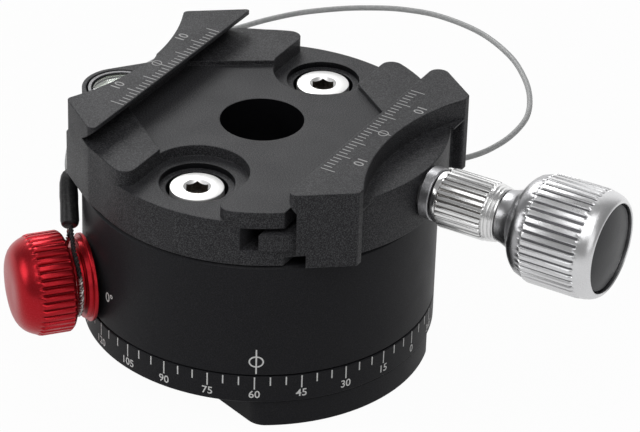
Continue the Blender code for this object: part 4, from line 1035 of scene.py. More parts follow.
@dataclass
class Drum(Assembly):
    """Drum with its knob sockets, its index mark and the socket numbers."""

    bottom: float = 10.35
    top: float = 31.2
    rim: float = 0.5
    cavity: float = 25.3
    well: float = 16.5
    web_bottom: float = 19.5
    web_height: float = 2.5
    web_bore: float = 11.3
    socket_radius: float = 2.8
    socket_azimuths: tuple[float, ...] = (195.0, 170.0, 145.0, 120.0)
    socket_words: tuple[str, ...] = ("15°", "30°", "45°", "90°")
    anchor_azimuth: float = 49.5
    anchor_z: float = 27.6
    anchor_bore: float = 2.1
    screw_bore: float = 2.7
    screw_bottom: float = 25.5
    index_azimuth: float = -59.9
    index_line_bottom: float = 10.62
    index_line_top: float = 15.33
    index_ring_z: float = 12.98
    index_ring_width: float = 2.54
    index_ring_height: float = 2.2
    ink_width: float = 0.26
    label_azimuth: float = -115.0
    label_share: float = 0.7
    label_z: float = 16.25
    label_height: float = 1.75
    boldness: float = 0.03
    edge: float = 0.15

    def radial(self, azimuth: float, height: float, radius: float, start: float) -> bmesh.types.BMesh:
        """Return a round cutter along a radius of the drum.

        Args:
            azimuth: Its azimuth in degrees.
            height: Height of its axis.
            radius: Its radius.
            start: Distance from the pan axis at which it starts.

        Returns:
            The cutter.
        """
        turn = Matrix.Translation((0, 0, height)) @ Matrix.Rotation(math.radians(azimuth), 4, "Z")
        stand = turn @ Matrix.Rotation(math.pi / 2, 4, "Y")
        return placed(rod(radius, start, DRUM_RADIUS + OVERRUN, 48), stand)

    def build(self) -> None:
        """Make the drum and print it."""
        web_top = self.web_bottom + self.web_height
        shell = [(self.well, self.top), (DRUM_RADIUS - self.rim, self.top),
                 (DRUM_RADIUS, self.top - self.rim), (DRUM_RADIUS, self.bottom), (self.cavity, self.bottom),
                 (self.cavity, self.web_bottom), (self.web_bore, self.web_bottom), (self.web_bore, web_top),
                 (self.well, web_top)]
        piece = Workpiece("drum_shell", turned(shell, 240))
        for azimuth in (math.degrees(INDEX_AZIMUTH), *self.socket_azimuths):
            piece.cut(self.radial(azimuth, INDEX_AXIS_Z, self.socket_radius, self.cavity - OVERRUN))
        piece.cut(self.radial(self.anchor_azimuth, self.anchor_z, self.anchor_bore, self.cavity + OVERRUN))
        for side in (-1, 1):
            piece.cut(moved(rod(self.screw_bore, self.screw_bottom, FAR, 32), (0, side * SCREW_Y, 0)))
        piece.mount(Body.DRUM, self.finishes.get("drum_black"), ("drum_housing",), self.edge, 2)
        self.print_marks()

    def ring_ink(self) -> bmesh.types.BMesh:
        """Return the flat ellipse line of the index mark.

        Returns:
            The thin solid about the origin.
        """
        wide = self.index_ring_width / 2
        high = self.index_ring_height / 2
        loops = []
        for inset, side in ((0, -0.5), (0, 0.5), (self.ink_width, 0.5), (self.ink_width, -0.5)):
            around = circle(1.0, side * INK, 48)
            loops.append([((wide - inset) * x, (high - inset) * y, z) for x, y, z in around])
        return lofted(loops, True)

    def print_marks(self) -> None:
        """Print the index mark over the scale and the numbers by the sockets."""
        azimuth = math.radians(self.index_azimuth)
        half = self.ink_width / 2
        line = block((-half, self.index_line_bottom, -INK / 2), (half, self.index_line_top, INK / 2))
        marks = [wrapped(line, azimuth, 0, DRUM_RADIUS),
                 wrapped(self.ring_ink(), azimuth, self.index_ring_z, DRUM_RADIUS)]
        self.put("index_mark", merged(marks), Body.DRUM, "dial_ink")
        offset = self.label_azimuth - math.degrees(INDEX_AZIMUTH)
        places = [(self.label_azimuth, "0°")]
        places += [(socket + offset * self.label_share, words)
                   for socket, words in zip(self.socket_azimuths, self.socket_words)]
        labels = [wrapped(lettering(words, self.label_height, self.boldness), math.radians(place),
                          self.label_z, DRUM_RADIUS) for place, words in places]
        self.put("socket_numbers", merged(labels), Body.DRUM, "dial_ink")


@dataclass
class ClampBody(Assembly):
    """Clamp body with the fixed jaw, its floor, three lands, two slots and the bubble level's nose."""

    bottom: float = 31.5
    tunnel_bottom: float = 34.3
    tunnel_top: float = 38.4
    floor: float = 41.35
    land: float = LAND_TOP
    web_face: float = 12.3
    plate_edge: float = 18.4
    ledge_edge: float = 20.2
    ledge_notch: float = 1.5
    side_corner: Corner = (27.4, 17.7, 1.6)
    rim_corner: Corner = (18.6, 24.3, 3.0)
    rim_end_x: float = 15.0
    lip_x: float = 17.35
    tip_y: float = 25.24
    tip_round: float = 1.0
    back_tip: tuple[Corner, Corner] = ((17.35, 24.7, 0.3), (18.05, 24.72, 0.6))
    heel: Corner = (26.7, 18.22, 0.9)
    wall_share: float = 0.85
    land_round: float = 2.0
    lip_height: float = 0.7
    dovetail: float = 3.5
    arc_radius: float = 40.0
    arc_x: float = 22.35
    side_round: float = 0.4
    nose_radius: float = 6.7
    nose_start: float = math.radians(140.0)
    fairing: Corner = (28.2, 10.3, 0.6)
    hole: float = 7.02
    hole_bore: float = 5.3
    hole_ledge: float = 33.0
    slot_half_width: float = 8.2
    slot_radius: float = 8.4
    slot_y: float = 20.1
    slot_floor: float = 39.4
    counterbore: float = 6.2
    counterbore_depth: float = 1.0
    well: float = 5.1
    well_floor: float = 34.8
    screw_bore: float = 2.7
    thread_bore: float = 2.8
    level_pocket: float = 6.0
    level_floor: float = 34.6
    land_front: tuple[Point, Point] = ((8.1, 18.8), (14.2, 14.2))
    land_back: tuple[Point, Point] = ((7.9, 17.2), (14.1, 13.0))
    land_right: tuple[Point, Point] = ((8.1, 17.9), (15.8, 12.2))

    def plan(self) -> list[Point]:
        """Return the body's plan: the drum's circle, two square corners and the level's nose.

        Returns:
            A closed outline.
        """
        start = math.acos(self.ledge_edge / DRUM_RADIUS)
        rim_end = math.pi - math.acos(self.rim_end_x / DRUM_RADIUS)
        side_x = self.side_corner[0]
        side_end = (side_x, math.sqrt(DRUM_RADIUS ** 2 - side_x ** 2), self.side_round)
        half = [(*point, 0.0) for point in arc((0, 0), DRUM_RADIUS, start, rim_end, 60)]
        corners = (self.rim_corner, self.side_corner, side_end, self.fairing)
        half += [(-x, y, radius) for x, y, radius in corners]
        half += [(*point, 0.0) for point in arc((LEVEL_X, 0), self.nose_radius, self.nose_start, math.pi, 18)]
        return two_sided(half[:-1], half)

    def jaw_plan(self) -> list[Point]:
        """Return the fixed jaw's plan, with tips that reach past the rim.

        Returns:
            A closed outline.
        """
        x, y, radius = self.heel
        end = self.wall_share * math.asin(y / self.arc_radius)
        centre = (-self.arc_x - self.arc_radius, 0)
        heel = [(-x, y, radius)]
        heel += [(*point, 0.0) for point in arc(centre, self.arc_radius, end, 0, 60)]
        front = [(-self.lip_x, self.tip_y, self.tip_round)] + heel
        back = [(-x, y, radius) for x, y, radius in self.back_tip] + heel
        return two_sided(front[:-1], back)

    def land_y(self, land: tuple[Point, Point], x: float) -> float:
        """Return the y at which a land's slanted edge reaches x."""
        near, far = land
        return near[1] + (far[1] - near[1]) * (x - near[0]) / (far[0] - near[0])

    def floor_plan(self) -> list[Point]:
        """Return the plan of the lowered floor between the lands.

        Returns:
            A closed outline.
        """
        back = self.lip_x + self.dovetail - 2 * GAP
        front = self.ledge_edge + OVERRUN
        wall = self.slot_half_width - GAP
        right_y = self.land_y(self.land_right, front)
        return [(-back, -self.land_y(self.land_front, back)), (-wall, -self.land_y(self.land_front, wall)),
                (-wall, -FAR), (FAR, -FAR), (FAR, right_y), (front, right_y),
                (wall, self.land_y(self.land_right, wall)), (wall, FAR), (-wall, FAR),
                (-wall, self.land_y(self.land_back, wall)), (-back, self.land_y(self.land_back, back))]

    def slot_plan(self, side: int) -> list[Point]:
        """Return the plan of a slot.

        Args:
            side: -1 for the front slot, 1 for the back one.

        Returns:
            A closed outline.
        """
        lean = math.acos(self.slot_half_width / self.slot_radius)
        points = arc((0, -self.slot_y), self.slot_radius, lean, math.pi - lean, 48)
        radius = self.land_round
        centre_x = self.slot_half_width + radius
        centre_y = math.sqrt((DRUM_RADIUS - radius) ** 2 - centre_x ** 2)
        out = math.atan2(centre_y, centre_x)
        mouth = arc((centre_x, centre_y), radius, math.pi, out, 14)
        mouth.append((FAR * math.cos(out), FAR * math.sin(out)))
        points += [(-x, -y) for x, y in mouth] + [(x, -y) for x, y in reversed(mouth)]
        return [(x, -y * side) for x, y in points]

    def build(self) -> None:
        """Mill the body from its plan."""
        piece = Workpiece("clamp_plate", extruded(self.plan(), self.bottom, self.land))
        sweep = rod(self.arc_radius + OVERRUN, LEVEL_SHELF, FAR, 360)
        piece.cut(moved(sweep, (-self.arc_x - self.arc_radius, 0, 0)))
        piece.join(extruded(self.jaw_plan(), LEVEL_SHELF - GAP, JAW_TOP))
        lip_z = JAW_TOP - self.lip_height
        inner = -self.lip_x + OVERRUN
        piece.cut(along_y([(inner, lip_z), (-self.lip_x, lip_z), (-self.lip_x - self.dovetail, self.land),
                           (inner, self.land)]))
        piece.cut(extruded(self.floor_plan(), self.floor, self.land + GAP))
        below = self.bottom - OVERRUN
        piece.cut(block((self.web_face, -FAR, self.tunnel_bottom), (FAR, FAR, self.tunnel_top)),
                  block((self.plate_edge, -FAR, self.tunnel_top - GAP), (FAR, FAR, FAR)),
                  block((self.plate_edge, -FAR, below), (FAR, FAR, self.bottom + self.ledge_notch)))
        ledge = self.slot_floor - self.counterbore_depth
        over = self.slot_floor + OVERRUN
        well = [(0, over), (self.counterbore, over), (self.counterbore, ledge), (self.well, ledge),
                (self.well, self.well_floor), (self.screw_bore, self.well_floor), (self.screw_bore, below),
                (0, below)]
        for side in (-1, 1):
            piece.cut(extruded(self.slot_plan(-side), self.slot_floor, self.land + OVERRUN))
            piece.cut(moved(turned(well, 72), (0, side * SCREW_Y, 0)))
        hole = [(0, FAR), (self.hole, FAR), (self.hole, self.hole_ledge), (self.hole_bore, self.hole_ledge),
                (self.hole_bore, below), (0, below)]
        thread = rod(self.thread_bore, self.hole - OVERRUN, self.plate_edge + OVERRUN, 32)
        piece.cut(turned(hole, 80), on_axis(thread, Axis.CLAMP),
                  moved(rod(self.level_pocket, self.level_floor, FAR, 64), (LEVEL_X, 0, 0)))
        piece.mount(Body.DRUM, self.finishes.get("blasted"), ("clamp_body",))
        # Painted shade: the central hole, the screw wells and the counterbores' walls take a near-black
        # finish
        dark = self.finishes.get("bore_painted_shade")
        piece.paint(dark, (0, 0), (0, self.hole + GAP), (self.bottom, self.floor - GAP / 2))
        for side in (-1, 1):
            axis = (0, side * SCREW_Y)
            bore_wall = (self.counterbore - GAP, self.counterbore + GAP)
            piece.paint(dark, axis, (0, self.well + GAP), (self.bottom, ledge - GAP / 2))
            piece.paint(dark, axis, bore_wall, (ledge, self.slot_floor))


@dataclass
class JawScale(Assembly):
    """Printed ruler on a jaw's top: 31 marks of a millimetre, a ringed 0 and a 10 to each side."""

    name: str
    body: Body
    inner_x: float
    outward: int
    reach: int = 15
    long_each: int = 5
    numbered: int = 10
    plain: float = 1.5
    tenth: float = 2.55
    width: float = 0.17
    digit_height: float = 1.75
    digit_gap: float = 0.95
    ring: float = 0.88
    ring_share: float = 0.6
    tail_share: float = 1.5

    def bar(self, near: float, far: float, y: float) -> bmesh.types.BMesh:
        """Return a bar of ink across the jaw's top, between two distances from its inner edge."""
        ends = sorted((self.inner_x + self.outward * near, self.inner_x + self.outward * far))
        return block((ends[0], y - self.width / 2, JAW_TOP), (ends[1], y + self.width / 2, JAW_TOP + INK))

    def build(self) -> None:
        """Print the ruler."""
        parts = [self.bar(0, self.tenth if y % self.long_each == 0 else self.plain, y)
                 for y in range(-self.reach, self.reach + 1)]
        middle = self.inner_x + self.outward * (self.tenth + self.digit_gap + self.digit_height / 2)
        for y in (-self.numbered, self.numbered):
            digits = lettering(str(self.numbered), self.digit_height)
            parts.append(moved(digits, (middle, y, JAW_TOP), -self.outward * math.pi / 2))
        inner = self.ring - self.width
        corners = ((self.ring, 0), (self.ring, INK), (inner, INK), (inner, 0))
        loops = [circle(radius, lift, 40) for radius, lift in corners]
        ring = self.tenth + self.ring * self.ring_share
        parts.append(moved(lofted(loops, True), (self.inner_x + self.outward * ring, 0, JAW_TOP)))
        parts.append(self.bar(self.tenth, ring + self.ring * self.tail_share, 0))
        self.put(self.name, merged(parts), self.body, "ruler_ink")


@dataclass
class ClampScrews(Assembly):
    """Two bright socket screws in the slots."""

    head: float = 4.48
    head_top: float = 38.7
    head_height: float = 3.6
    shank: float = 2.4
    bottom: float = 25.8
    edge: float = 0.25
    edge_share: float = 0.3
    hex_radius: float = 2.05
    hex_depth: float = 1.6
    lead_share: float = 1.12
    rim_depth: float = 0.25

    def build(self) -> None:
        """Turn both screws and broach their sockets."""
        head_bottom = self.head_top - self.head_height
        lead = self.hex_radius * self.lead_share
        drop = self.edge * self.edge_share
        profile = [(0, self.head_top), (self.head - self.edge, self.head_top),
                   (self.head - drop, self.head_top - drop), (self.head, self.head_top - self.edge),
                   (self.head, head_bottom), (self.shank, head_bottom), (self.shank, self.bottom),
                   (0, self.bottom)]
        for name, node, side in (("front_screw", "clamp_screw_front", -1),
                                 ("back_screw", "clamp_screw_back", 1)):
            piece = Workpiece(name, turned(profile, 96))
            piece.cut(turned([(0, FAR), (lead, FAR), (lead, self.head_top), (0, self.head_top - lead)], 48),
                      rod(self.hex_radius, self.head_top - self.hex_depth, FAR, 6))
            piece.item.data.transform(Matrix.Translation((0, side * SCREW_Y, 0)))
            piece.mount(Body.DRUM, self.finishes.get("screw_steel"), (node,))
            # Painted shade: the hex socket below its rim takes a dark steel
            piece.paint(self.finishes.get("socket_painted_shade"), (0, side * SCREW_Y), (0, lead),
                        (head_bottom, self.head_top - self.rim_depth))


@dataclass
class BubbleLevel(Assembly):
    """Round bubble level: cup, fluid, bubble, printed ring and domed lens."""

    radius: float = 5.7
    wall: float = 0.6
    bottom: float = 34.9
    floor: float = 35.7
    lens_bottom: float = 37.9
    lens_dome: float = 0.2
    bubble_radius: float = 1.25
    bubble_shape: tuple[Point, ...] = ((0, 0.22), (0.6, 0.19), (1.0, 0.1), (1.0, 0.02), (0, 0.02))
    ring_radius: float = 2.1
    ring_width: float = 0.16
    ring_span: Point = (0.02, 0.08)
    edge: float = 0.1

    def build(self) -> None:
        """Make the level's pieces."""
        inner = self.radius - self.wall
        liquid = inner - GAP
        fluid_top = self.lens_bottom - GAP
        top = LEVEL_SHELF - GAP
        low, high = (fluid_top + lift for lift in self.ring_span)
        cup = [(0, self.floor), (inner, self.floor), (inner, LEVEL_SHELF), (self.radius, LEVEL_SHELF),
               (self.radius, self.bottom), (0, self.bottom)]
        bubble = [(self.bubble_radius * share, fluid_top + lift) for share, lift in self.bubble_shape]
        ring = [(self.ring_radius, high), (self.ring_radius, low), (self.ring_radius - self.ring_width, low),
                (self.ring_radius - self.ring_width, high)]
        lens = [(liquid * k / 6, top + self.lens_dome * (1 - (k / 6) ** 2)) for k in range(7)]
        lens += [(liquid, self.lens_bottom), (0, self.lens_bottom)]
        fluid = rod(liquid, self.floor + GAP, fluid_top, 64)
        for name, form, finish, nodes, edge in (
                ("level_ring", turned(cup, 72), "level_metal", ("level_cup",), self.edge),
                ("level_liquid", fluid, "fluid", ("level_fluid",), self.edge),
                ("level_bubble", turned(bubble, 40), "bubble", (), 0.0),
                ("level_circle", turned(ring, 56), "sleeve_black", (), 0.0),
                ("level_window", turned(lens, 72), "glass", ("level_lens",), 0.0)):
            self.put(name, moved(form, (LEVEL_X, 0, 0)), Body.DRUM, finish, nodes, edge)


@dataclass
class MovingJaw(Assembly):
    """Moving jaw: two pillars, lip, outer arc and shelf, with a tongue below."""

    opened: float = 1.9
    radius: float = 29.7
    bottom: float = 32.3
    tongue_edge: float = 15.3
    tongue_bottom: float = 34.6
    tongue_top: float = 37.6
    skirt: float = 22.4
    wall: float = 21.1
    lip: float = 19.3
    lip_height: float = 1.6
    arc_radius: float = 36.5
    arc_x: float = 24.6
    pillar_x: float = 28.95
    pillar_y: float = 16.9
    pillar_turn_y: float = 18.65
    tip_y: float = 26.0
    tip_rounds: Point = (1.2, 1.8)
    pillar_rounds: Place = (1.0, 0.4, 0.7)
    wall_end: float = math.radians(31.0)
    cheek_y: float = 13.4
    relief: float = 4.5
    pin_y: float = 12.0
    pin_z: float = 36.35
    pin_bore: float = 1.2
    pin_end: float = 20.8
    spindle_bore: float = 2.8
    collar_bore: float = 3.8
    collar_start: float = 23.7

    def plan(self) -> list[Point]:
        """Return the jaw's plan: a shifted arc between two square pillars.

        Returns:
            A closed outline.
        """
        root_x = self.opened + math.sqrt(self.radius ** 2 - self.pillar_y ** 2)
        wall = [(*point, 0.0) for point in arc((self.opened, 0), self.radius, 0, self.wall_end, 28)]
        root, inner, outer = self.pillar_rounds
        front, back = (wall + [(root_x, self.pillar_y, root), (self.pillar_x, self.pillar_y, inner),
                               (self.pillar_x, self.pillar_turn_y, outer), (self.lip, self.tip_y, tip_round)]
                       for tip_round in self.tip_rounds)
        return two_sided(front[1:], back)

    def tongue_plan(self) -> list[Point]:
        """Return the plan of the tongue that slides in the body's tunnel.

        Returns:
            A closed outline.
        """
        reach = self.wall + OVERRUN
        start = math.acos((reach - self.opened) / self.radius)
        end = math.acos((self.tongue_edge - self.opened) / self.radius)
        side = arc((self.opened, 0), self.radius, start, end, 12)
        return mirrored([(reach, 0)] + side + [(self.tongue_edge, 0)])

    def build(self) -> None:
        """Mill the jaw from its plan."""
        piece = Workpiece("jaw_block", extruded(self.plan(), self.bottom, JAW_TOP))
        lip_z = JAW_TOP - self.lip_height
        foot_z = lip_z - (self.wall - self.lip)
        below = self.bottom - OVERRUN
        inside = self.tongue_edge - OVERRUN
        piece.cut(along_y([(self.lip - OVERRUN, below), (self.wall, below), (self.wall, foot_z),
                           (self.lip, lip_z), (self.lip - OVERRUN, lip_z)]))
        piece.join(extruded(self.tongue_plan(), self.tongue_bottom, self.tongue_top))
        piece.cut(block((inside, -FAR, below), (self.skirt, FAR, self.tongue_bottom)),
                  block((inside, -self.relief, self.tongue_bottom - GAP),
                        (self.wall, self.relief, self.tongue_top + GAP)))
        for side in (-1, 1):
            ends = sorted((side * self.cheek_y, side * (self.pillar_y + GAP)))
            piece.join(block((self.arc_x, ends[0], LAND_TOP - GAP), (self.pillar_x, ends[1], JAW_TOP)))
        piece.cut(moved(rod(self.arc_radius, LAND_TOP, FAR, 360), (self.arc_x + self.arc_radius, 0, 0)),
                  on_axis(rod(self.spindle_bore, self.wall - OVERRUN, FAR, 32), Axis.CLAMP),
                  on_axis(rod(self.collar_bore, self.collar_start, FAR, 48), Axis.CLAMP))
        for side in (-1, 1):
            bore = on_axis(rod(self.pin_bore, inside, self.pin_end, 24), Axis.CLAMP)
            piece.cut(moved(bore, (0, side * self.pin_y, self.pin_z - CLAMP_AXIS_Z)))
        piece.mount(Body.JAW, self.finishes.get("blasted"), ("moving_jaw",))


@dataclass
class ClampKnob(Assembly):
    """Clamp screw: collar, threaded spindle, knurled sleeve, bell-shaped knurled knob and its cap.

    Attributes:
        collar_rounding: Radius and place of the sleeve's first edge, from the collar and its start.
        sleeve_fade: Radius over the grooves, groove depth and place where the sleeve's knurl sets in.
        sleeve_full: Distances from the knurl's ends between which it has its full depth.
        sleeve_tail: Radius and place of the plain loops behind the knurl, from its grooves and its end.
        knurl_fade: Drop of the crests, loss of groove depth and first place of the knob's knurl.
        bell: Share of the way along and share of the rise, from the neck to the knurl.
        rim: Share of the way along and share of the wall, from the knurl to the knob's end.
    """

    spindle: float = 2.5
    spindle_start: float = 8.9
    spindle_end: float = 61.7
    bore: float = 2.8
    collar: float = 4.45
    collar_start: float = 31.9
    collar_end: float = 33.8
    collar_tube: float = 3.5
    collar_tube_start: float = 24.0
    sleeve_start: float = 34.1
    sleeve_knurl: Point = (35.3, 43.4)
    sleeve_end: float = 45.6
    sleeve_collar: float = 4.5
    sleeve_radius: float = 5.0
    sleeve_depth: float = 0.42
    sleeve_ridges: int = 32
    ring_starts: Place = (43.75, 44.4, 45.0)
    ring_radii: Place = (4.85, 4.72, 4.60)
    ring_width: float = 0.42
    ring_groove: float = 0.3
    neck: float = 4.36
    hub: float = 3.4
    hub_end: float = 48.0
    knurl_span: Point = (52.6, 62.0)
    radius: float = 9.15
    depth: float = 0.42
    ridges: int = 44
    end: float = 64.8
    cap_seat: float = 62.0
    cap_radius: float = 7.2
    cap_rim: float = 64.2
    cap_top: float = 65.0
    thread_pitch: float = 1.0
    thread_end: float = 22.0
    thread_depth: float = 0.45
    thread_shares: Point = (0.5, 0.92)
    collar_rounding: tuple[Point, ...] = ((-0.3, 0.0), (-0.08, 0.08), (0.0, 0.3))
    sleeve_foot: float = 0.25
    sleeve_fade: Section = (0.12, 0.05, -0.08)
    sleeve_full: Point = (0.15, 0.3)
    sleeve_drop: Point = (0.1, 0.12)
    sleeve_tail: tuple[Point, ...] = ((-0.15, 0.12), (-0.3, 0.22))
    ring_edge: float = 0.08
    knurl_fade: Section = (0.12, 0.1, 0.1)
    knurl_full: float = 0.45
    groove_start: float = 0.2
    rim_edge: float = 0.15
    collar_edge: float = 0.25
    cap_edge: float = 0.12
    cap_steps: int = 12
    bell: tuple[Point, ...] = (
        (0.0, 0.0), (0.14, 0.05), (0.31, 0.15), (0.36, 0.21), (0.40, 0.28), (0.47, 0.45), (0.54, 0.63),
        (0.63, 0.79), (0.73, 0.91), (0.86, 0.975), (0.95, 1.0))
    rim: tuple[Point, ...] = (
        (0.10, 0.90), (0.30, 0.86), (0.55, 0.74), (0.75, 0.58), (0.90, 0.38), (0.98, 0.20), (1.0, 0.08))

    def build(self) -> None:
        """Make the collar, spindle, sleeve, knob and cap."""
        tube = self.collar_tube_start
        collar = [(self.collar, self.collar_end), (self.collar, self.collar_start),
                  (self.collar_tube, self.collar_start), (self.collar_tube, tube), (self.bore, tube),
                  (self.bore, self.collar_end)]
        self.put("jaw_collar", on_axis(turned(collar, 72), Axis.CLAMP), Body.JAW, "dull_steel",
                 ("spindle_collar",), self.collar_edge)
        self.build_spindle()
        self.build_sleeve()
        self.build_knob()
        rise = self.cap_top - self.cap_rim
        steps = self.cap_steps
        cap = [(self.cap_radius * k / steps, self.cap_top - rise * (k / steps) ** 2)
               for k in range(steps + 1)]
        cap += [(self.cap_radius, self.cap_seat + GAP), (0, self.cap_seat + GAP)]
        self.put("end_cap", on_axis(turned(cap, 96), Axis.CLAMP), Body.CLAMP_KNOB, "cap", ("knob_cap",),
                 self.cap_edge)

    def build_spindle(self) -> None:
        """Make the spindle with thread grooves where it runs in the body."""
        root = self.spindle - self.thread_depth
        to_root, to_crest = (self.thread_pitch * share for share in self.thread_shares)
        profile = [(0, self.spindle_end), (self.spindle, self.spindle_end), (self.spindle, self.thread_end)]
        for k in range(int((self.thread_end - self.spindle_start) / self.thread_pitch)):
            x = self.thread_end - k * self.thread_pitch
            profile += [(root, x - to_root), (self.spindle, x - to_crest)]
        profile += [(root, self.spindle_start), (0, self.spindle_start)]
        self.put("threaded_spindle", on_axis(turned(profile, 40), Axis.CLAMP), Body.CLAMP_KNOB, "dull_steel",
                 ("clamp_spindle",))

    def build_sleeve(self) -> None:
        """Make the bright knurled sleeve."""
        first = self.sleeve_start
        start, end = self.sleeve_knurl
        depth = self.sleeve_depth
        groove = self.sleeve_radius - depth
        collar = self.sleeve_collar
        over, shallow, ahead = self.sleeve_fade
        lead, trail = self.sleeve_full
        drop, loss = self.sleeve_drop
        sections = [(self.bore, 0, first)]
        sections += [(collar + out, 0, first + along) for out, along in self.collar_rounding]
        sections += [
            (collar, 0, start - self.sleeve_foot), (groove + over, shallow, start + ahead),
            (self.sleeve_radius, depth, start + lead), (self.sleeve_radius, depth, end - trail),
            (self.sleeve_radius - drop, depth - loss, end)]
        sections += [(groove + out, 0, end + along) for out, along in self.sleeve_tail]
        for near, ring in zip(self.ring_starts, self.ring_radii):
            far = near + self.ring_width
            sections += [(ring - self.ring_groove, 0, near), (ring, 0, near + self.ring_edge),
                         (ring, 0, far - self.ring_edge), (ring - self.ring_groove, 0, far)]
        sections += [(self.neck, 0, self.sleeve_end), (self.hub, 0, self.sleeve_end),
                     (self.hub, 0, self.hub_end), (self.bore, 0, self.hub_end)]
        form = on_axis(ribbed(sections, self.sleeve_ridges, True), Axis.CLAMP)
        piece = self.put("sleeve", form, Body.CLAMP_KNOB, "chrome", ("knob_sleeve",))
        # Painted shade: the faces deep in the sleeve's knurl take a darker steel
        piece.paint(self.finishes.get("sleeve_groove_painted_shade"), (0.0, 0.0),
                    (collar - GAP, self.sleeve_radius - SHADED_GROOVE_SHARE * depth), (start, end), Axis.CLAMP)

    def build_knob(self) -> None:
        """Make the bell-shaped knob with its straight knurl."""
        first = self.sleeve_end + GAP
        start, end = self.knurl_span
        depth = self.depth
        hub = self.hub + GAP
        hub_end = self.hub_end + GAP
        rise = self.radius - depth - self.neck
        seat = self.cap_radius + GAP
        wall = self.radius - seat
        sections = [(self.bore, 0, hub_end), (hub, 0, hub_end), (hub, 0, first)]
        sections += [(self.neck + rise * up, 0, first + (start - first) * along) for along, up in self.bell]
        drop, loss, ahead = self.knurl_fade
        sections += [
            (self.radius - drop, depth - loss, start + ahead), (self.radius, depth, start + self.knurl_full),
            (self.radius, depth, end - self.knurl_full), (self.radius - drop, depth - loss, end)]
        sections += [(seat + wall * out, 0, end + (self.end - end) * along) for along, out in self.rim]
        sections += [(seat, 0, self.end - self.rim_edge), (seat, 0, self.cap_seat),
                     (self.bore, 0, self.cap_seat)]
        form = on_axis(ribbed(sections, self.ridges, True), Axis.CLAMP)
        piece = self.put("knob", form, Body.CLAMP_KNOB, "satin", ("clamp_knob",))
        # Painted shade: the faces deep in the knurl's grooves take a darker grey
        piece.paint(self.finishes.get("knob_groove_painted_shade"), (0.0, 0.0), (seat, self.radius - SHADED_GROOVE_SHARE * depth),
                    (start + self.groove_start, end), Axis.CLAMP)
        # Painted shade: the bell between neck and knurl takes a darker copy of the satin finish
        piece.paint(self.finishes.get("neck_satin_painted_shade"), (0.0, 0.0), (hub, self.radius), (first, start),
                    Axis.CLAMP)


@dataclass
class IndexKnob(Assembly):
    """Red index knob: flange, collar, neck for the lanyard and a knurled head with a round front.

    Attributes:
        fade_in: Radius over the grooves, groove depth and place where the knurl sets in.
        knurl_trail: Distance before the knurl's end up to which it has its full depth.
        fade_out: Radius from the crests, share of the groove depth and place at the knurl's end.
        dome: Share of the way along and share of the radius, from the knurl to the face.
    """

    flange: float = 7.5
    flange_start: float = 30.3
    step: float = 31.0
    collar: float = 6.8
    neck_start: float = 31.9
    neck: float = 5.3
    neck_end: float = 34.0
    radius: float = 8.6
    depth: float = 0.42
    ridges: int = 40
    knurl_span: Point = (34.6, 39.9)
    face: float = 43.6
    bore: float = 2.8
    bore_end: float = 37.3
    edge: float = 0.15
    step_edge: float = 0.12
    step_root: float = 0.05
    neck_root: float = 0.1
    back_edge: float = 0.35
    fade_in: Section = (0.25, 0.15, -0.15)
    knurl_trail: float = 0.5
    fade_out: tuple[Section, ...] = ((-0.1, 0.75, 0.0), (-0.26, 0.3, 0.25))
    dome: tuple[Point, ...] = (
        (0.12, 0.96), (0.26, 0.935), (0.40, 0.905), (0.53, 0.87), (0.65, 0.825), (0.76, 0.77), (0.85, 0.705),
        (0.92, 0.63), (0.97, 0.53), (1.0, 0.40), (1.0, 0.25), (1.0, 0.10))

    def build(self) -> None:
        """Make the knob."""
        start, end = self.knurl_span
        front = self.face - end
        head = self.radius - self.depth
        first = self.neck_start
        last = self.neck_end
        edge = self.edge
        over, shallow, ahead = self.fade_in
        sections = [
            (self.bore, 0, self.bore_end), (self.bore, 0, self.flange_start),
            (self.flange - edge, 0, self.flange_start), (self.flange, 0, self.flange_start + edge),
            (self.flange, 0, self.step - self.step_edge), (self.flange - self.step_edge, 0, self.step),
            (self.collar + self.step_root, 0, self.step), (self.collar, 0, self.step + self.step_root),
            (self.collar, 0, first - edge), (self.collar - edge, 0, first),
            (self.neck + self.neck_root, 0, first), (self.neck, 0, first + self.neck_root),
            (self.neck, 0, last - self.neck_root), (self.neck + self.neck_root, 0, last),
            (head - self.back_edge, 0, last), (head - self.step_root, 0, last + edge),
            (head + over, shallow, start + ahead), (self.radius, self.depth, start + edge),
            (self.radius, self.depth, end - self.knurl_trail)]
        sections += [(self.radius + out, self.depth * share, end + along)
                     for out, share, along in self.fade_out]
        sections += [(self.radius * out, 0, end + front * along) for along, out in self.dome]
        form = on_axis(ribbed(sections, self.ridges, False), Axis.INDEX)
        piece = self.put("red_knob", form, Body.INDEX_KNOB, "red", ("index_knob",))
        # Painted shade: the faces deep in the knurl's grooves take a darker red
        piece.paint(self.finishes.get("red_groove_painted_shade"), (0.0, 0.0),
                    (self.collar, self.radius - SHADED_GROOVE_SHARE * self.depth), (start, end), Axis.INDEX)


